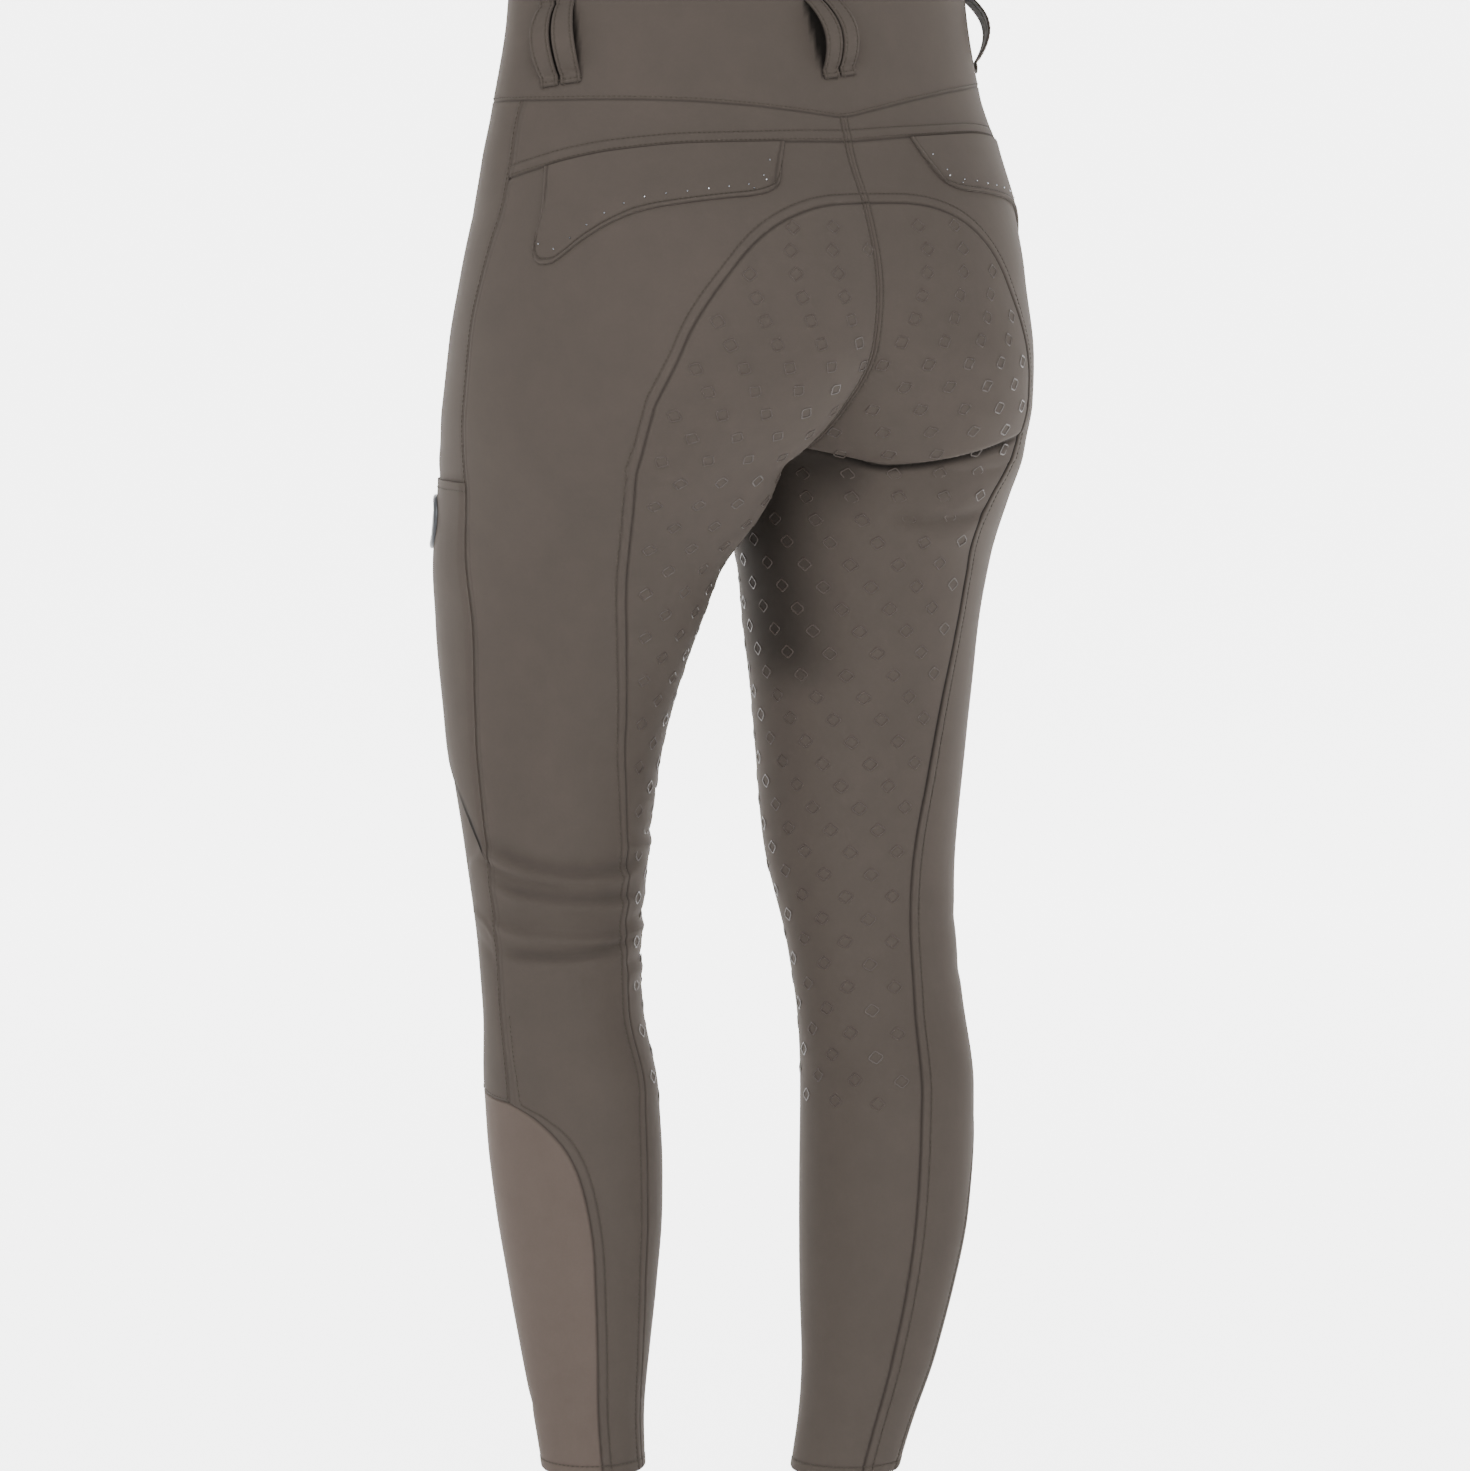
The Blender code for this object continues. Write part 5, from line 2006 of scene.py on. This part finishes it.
@dataclass
class BeltLoops:
    """Pairs of narrow straps on the waistband, sewn down at both ends and bowed between."""

    pairs: tuple[Strap, ...] = (
        Strap("loop_back", Side.LEFT, 89, 13, -0.08),
        Strap("loop_side_left", Side.LEFT, 160, 8, -0.14),
        Strap("loop_side_right", Side.RIGHT, 160, 4, -0.14),
        Strap("loop_front_left", Side.LEFT, 232, 0),
        Strap("loop_front_right", Side.RIGHT, 232, 0),
    )
    bottom: float = -38
    top: float = 15
    bow: float = 12.0
    clear: float = 0.5
    width: float = 11.8
    pitch: float = 13.2
    flat: float = 0.1  # share of a strap that lies flat at each end
    bow_power: float = 0.8
    rows: int = 40
    spacing: float = 1.5
    thickness: float = 1.5
    edge: float = 2.0  # from a strap's long edge to its stitches
    end: float = 2.6  # and from its ends
    under: float = 0.7  # share of its light that the inside of a strap loses
    behind: float = 0.88  # and that the band behind a pair does
    soften: float = 3.0  # width of that shadow's edge

    def shadows(self, side: Side, angles: Array, heights: Array) -> Array:
        """The share of its light that the band of one half loses behind the straps.

        Args:
            side: the half.
            angles: degrees round it.
            heights: millimetres up.

        Returns:
            The share at each place.
        """
        lost = np.zeros(angles.shape)
        for pair in self.pairs:
            if pair.side is not side:
                continue
            per_degree = FORM.per_degree(side, pair.angle, self.bottom)
            t = (heights - self.bottom) / (self.top - self.bottom)
            away = (angles - pair.angle) * per_degree - pair.lean * t
            inside = (self.pitch + self.width) / 2 - np.abs(away)
            low, high = heights - self.bottom, self.top - heights
            part = ease(inside / self.soften + 0.5)
            part = part * ease(low / self.soften) * ease(high / self.soften)
            lost = np.maximum(lost, self.behind * part)
        return lost

    def build(self, finishes: Finishes, stitching: Topstitching) -> None:
        """Make every strap and its two lines of stitching.

        Args:
            finishes: every finish.
            stitching: takes the piece's lines of stitches.
        """
        t = np.linspace(0, 1, self.rows + 1)
        heights = (self.bottom + (self.top - self.bottom) * t)[:, None]
        inside = np.clip((t - self.flat) / (1 - 2 * self.flat), 0, 1)
        arch = np.sin(math.pi * inside) ** self.bow_power
        bow = (self.clear + self.thickness + self.bow * arch)[:, None, None]
        across_share = spread(np.array([self.width]), np.ones(1), np.ones(1), self.spacing)[0]
        for pair in self.pairs:
            per_degree = FORM.per_degree(pair.side, pair.angle, self.bottom)
            for letter, place in (("a", -self.pitch / 2), ("b", self.pitch / 2)):
                across = place + self.width * (across_share - 0.5)
                angles = pair.angle + (across[None, :] + pair.lean * t[:, None]) / per_degree
                levels = heights + pair.tilt * across[None, :]
                out = FORM.normals(pair.side, angles, levels)
                points = FORM.points(pair.side, angles, levels) + out * bow
                edge, end = Work.TURNED.rows(len(t)), Work.TURNED.rows()
                works = {Border.FIRST: edge, Border.LAST: edge, Border.TOP: end, Border.FOOT: end}
                cloth = Cloth(points, out, works, under=self.under)
                name = f"{pair.name}_{letter}"
                lay(cloth, name, self.thickness, finishes.jersey)
                for border in Border:
                    long = border in (Border.FIRST, Border.LAST)
                    stitching.sew(cloth.path(border, self.edge if long else self.end))


@dataclass
class Disc:
    """A round moulded piece bent to the cloth under it."""

    name: str
    angle: float
    height: float
    lift: float
    profile: tuple[tuple[float, float], ...]  # radius and rise of its top
    slot: str
    rim_from: float = math.inf  # the radius at which its rim begins
    sides: int = 64

    def place(self, radii: Array, turns: Array) -> tuple[Array, Array]:
        """Points and normals of the cloth at polar places about the disc's middle.

        Args:
            radii: from the middle.
            turns: in radians.

        Returns:
            The points and their normals.
        """
        per_degree = FORM.per_degree(Side.LEFT, self.angle, self.height)
        angles = self.angle + radii[:, None] * np.cos(turns) / per_degree
        heights = self.height + radii[:, None] * np.sin(turns)
        return FORM.points(Side.LEFT, angles, heights), FORM.normals(Side.LEFT, angles, heights)

    def build(self, material: bpy.types.Material, rim: bpy.types.Material) -> None:
        """Make the disc.

        Args:
            material: its finish.
            rim: the finish of its rim.
        """
        turns = np.arange(self.sides) * 2 * math.pi / self.sides
        radii, rises = np.array(self.profile, float).T
        base, out = self.place(radii, turns)
        under = base + out * self.lift
        over = under + out * rises[:, None, None]
        shape = bmesh.new()
        rings = [[shape.verts.new(p * MM) for p in ring] for ring in over[1:]]
        rings.append([shape.verts.new(p * MM) for p in under[-1]])
        top = shape.verts.new(over[0].mean(axis=0) * MM)
        foot = shape.verts.new(under[0].mean(axis=0) * MM)
        for number, (inner, outer) in enumerate(zip(rings, rings[1:])):
            for k in range(self.sides):
                j = (k + 1) % self.sides
                face = shape.faces.new((inner[k], inner[j], outer[j], outer[k]))
                reached = radii[min(number + 2, len(radii) - 1)]
                face.material_index = int(reached > self.rim_from)
        for k in range(self.sides):
            j = (k + 1) % self.sides
            shape.faces.new((top, rings[0][j], rings[0][k]))
            shape.faces.new((foot, rings[-1][k], rings[-1][j]))
        bmesh.ops.recalc_face_normals(shape, faces=shape.faces)
        mesh = bpy.data.meshes.new(self.name)
        shape.to_mesh(mesh)
        shape.free()
        smooth(mesh, DISC_CREASE)
        mesh.materials.append(material)
        mesh.materials.append(rim)
        ride(new_object(f"{self.name}_piece", mesh), self.slot, self.name)


BADGE = Disc(
    name="badge",
    angle=219,
    height=-311,
    lift=1.6,
    profile=(
        (0, 1.7), (6, 1.65), (11, 1.4), (12, 1.4), (12.6, 2.0), (14, 2.25), (15.6, 2.1),
        (16.6, 1.6), (17, 0.9),
    ),
    slot="badge_rubber",
    rim_from=12.3,
)
BUTTON = Disc(
    name="button",
    angle=266.5,
    height=-14,
    lift=0.6,
    profile=(
        (0, 1.7), (3, 1.75), (4.6, 2.0), (5.4, 2.6), (6.6, 2.9), (7.6, 2.6), (8.3, 1.9),
        (8.5, 1.1),
    ),
    slot="button_resin",
)


# ----------------------------------------
# Studio


class Lamp(NamedTuple):
    """A soft square light."""

    name: str
    aside: float  # degrees round from the camera
    elevation: float
    power: float  # in watts
    size: float  # in metres


@dataclass(frozen=True)
class Studio:
    """A pale floor, soft light and the camera, behind and to the wearer's left."""

    azimuth: float = 142.0
    distance: float = 3.4
    height: float = -0.10
    pitch: float = -5.84
    lens: float = 133.0  # and the sensor's width, in millimetres
    sensor: float = 36.0
    aside: float = 0.0037
    floor_height: float = -1.02
    floor_reach: float = 3.4  # how far the floor runs before it curves up
    bend: float = 2.4
    wall: float = 6.0
    half_width: float = 6.0
    glow_from: float = 0.1
    glow_run: float = 0.3
    glow_fade: float = 2.5  # how far in from its sides the backdrop is less bright
    glow: float = 4.0
    paper: str = "#f4f4f4"
    white: tuple[float, float, float, float] = (1, 1, 1, 1)
    air: float = 0.75  # strength of the light from all round
    lamps: tuple[Lamp, ...] = (Lamp("key", -8, 30, 51, 1.8), Lamp("fill", 20, -4, 15, 2.2))
    lamp_distance: float = 3.0
    lamp_aim: float = -0.4
    rows_before: tuple[float, ...] = (-6, -3, -1, 0, 0.1, 0.2, 0.3, 0.4, 0.6, 1.2, 2.2)
    bend_steps: int = 8
    columns: int = 12

    def camera(self) -> None:
        """Set the camera up."""
        turn, tip = math.radians(self.azimuth), math.radians(self.pitch)
        back = Vector((math.sin(turn), -math.cos(turn), 0))
        right = Vector((math.cos(turn), math.sin(turn), 0))
        place = back * self.distance + Vector((0, 0, self.height)) - right * self.aside
        look = -back * math.cos(tip) + Vector((0, 0, math.sin(tip)))
        data = bpy.data.cameras.new("camera")
        data.lens = self.lens
        data.sensor_width = self.sensor
        camera = new_object("camera", data)
        camera.location = place
        camera.rotation_mode = "QUATERNION"
        camera.rotation_quaternion = look.to_track_quat("-Z", "Y")
        bpy.context.scene.camera = camera

    def hang(self, lamp: Lamp) -> None:
        """Hang a lamp so that it faces the breeches.

        Args:
            lamp: the lamp.
        """
        turn, rise = math.radians(self.azimuth + lamp.aside), math.radians(lamp.elevation)
        flat = math.cos(rise)
        back = Vector((math.sin(turn) * flat, -math.cos(turn) * flat, math.sin(rise)))
        data = bpy.data.lights.new(lamp.name, "AREA")
        data.energy = lamp.power
        data.size = lamp.size
        hung = new_object(lamp.name, data)
        hung.location = back * self.lamp_distance + Vector((0, 0, self.lamp_aim))
        hung.rotation_mode = "QUATERNION"
        hung.rotation_quaternion = (-back).to_track_quat("-Z", "Y")

    def sweep(self) -> None:
        """Lay the floor, which curves up into a backdrop that glows evenly: painted light."""
        bend = np.linspace(0, math.pi / 2, self.bend_steps + 1)
        flat_away = np.array([*self.rows_before, self.floor_reach])
        away = np.concatenate([flat_away, self.floor_reach + self.bend * np.sin(bend[1:])])
        height = np.concatenate([np.zeros(len(flat_away)), self.bend * (1 - np.cos(bend[1:]))])
        away, height = np.append(away, away[-1]), np.append(height, self.wall)
        aside = np.linspace(-self.half_width, self.half_width, self.columns + 1)
        turn = math.radians(self.azimuth)
        far = np.array([-math.sin(turn), math.cos(turn)])
        right = np.array([math.cos(turn), math.sin(turn)])
        flat = away[:, None, None] * far + aside[None, :, None] * right
        tall = np.broadcast_to(height[:, None, None] + self.floor_height, (*flat.shape[:2], 1))
        places = np.concatenate([flat, tall], -1)
        rows, columns = flat.shape[:2]
        number = np.arange(rows * columns).reshape(rows, columns)
        mesh = bpy.data.meshes.new("sweep")
        mesh.from_pydata(places.reshape(-1, 3).tolist(), [], quads(number).tolist())
        inwards = ease((self.half_width - np.abs(aside)) / self.glow_fade)
        paint(mesh, "glow", ease((away[:, None] - self.glow_from) / self.glow_run) * inwards)
        mesh.shade_smooth()
        mesh.materials.append(self.backdrop())
        new_object("sweep", mesh)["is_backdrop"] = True

    def backdrop(self) -> bpy.types.Material:
        """White paper with painted light: it glows, as if lit from behind, where the glow says so.
        """
        material, shader = new_material("studio_paper")
        tree = material.node_tree
        lit = add(tree, "ShaderNodeAttribute", attribute_name="glow")
        glow = {0: lit.outputs["Fac"], 1: self.glow}
        strength = add(tree, "ShaderNodeMath", glow, operation="MULTIPLY")
        tree.links.new(strength.outputs[0], shader.inputs["Emission Strength"])
        shader.inputs["Emission Color"].default_value = self.white
        shader.inputs["Base Color"].default_value = linear(self.paper)
        shader.inputs["Roughness"].default_value = 0.9
        material.cycles.emission_sampling = "NONE"
        return material

    def build(self) -> None:
        """Set up the whole studio."""
        world = bpy.data.worlds.new("studio")
        bpy.context.scene.world = world
        world.use_nodes = True
        background = world.node_tree.nodes["Background"]
        background.inputs["Color"].default_value = self.white
        background.inputs["Strength"].default_value = self.air
        self.sweep()
        for lamp in self.lamps:
            self.hang(lamp)
        self.camera()


def corners(bounds: tuple[Vector, Vector]) -> list[list[float]]:
    """A box as plain lists of numbers."""
    return [list(corner) for corner in bounds]


def main() -> None:
    """Build and dress every piece, in order, and set the studio up."""
    logging.basicConfig(level=logging.INFO, format="%(name)s %(message)s")
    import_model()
    solid_box = corners(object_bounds())
    finishes = Finishes()
    stitching, crystals = Topstitching(), Crystals()
    Waistband().build(finishes, stitching)
    for side in Side:
        Leg(side).build(finishes, stitching)
        Flap(side).build(finishes, stitching, crystals)
        GripPrint().build(side, finishes)
    ThighPocket().build(finishes, stitching)
    Fly().build(finishes, stitching)
    BeltLoops().build(finishes, stitching)
    crystals.build(finishes)
    stitching.build(finishes)
    BADGE.build(finishes.rubber, finishes.rim)
    BUTTON.build(finishes.resin, finishes.resin)
    Studio().build()
    {"solids": solid_box, "dressed": corners(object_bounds())}


if __name__ == "__main__":
    main()
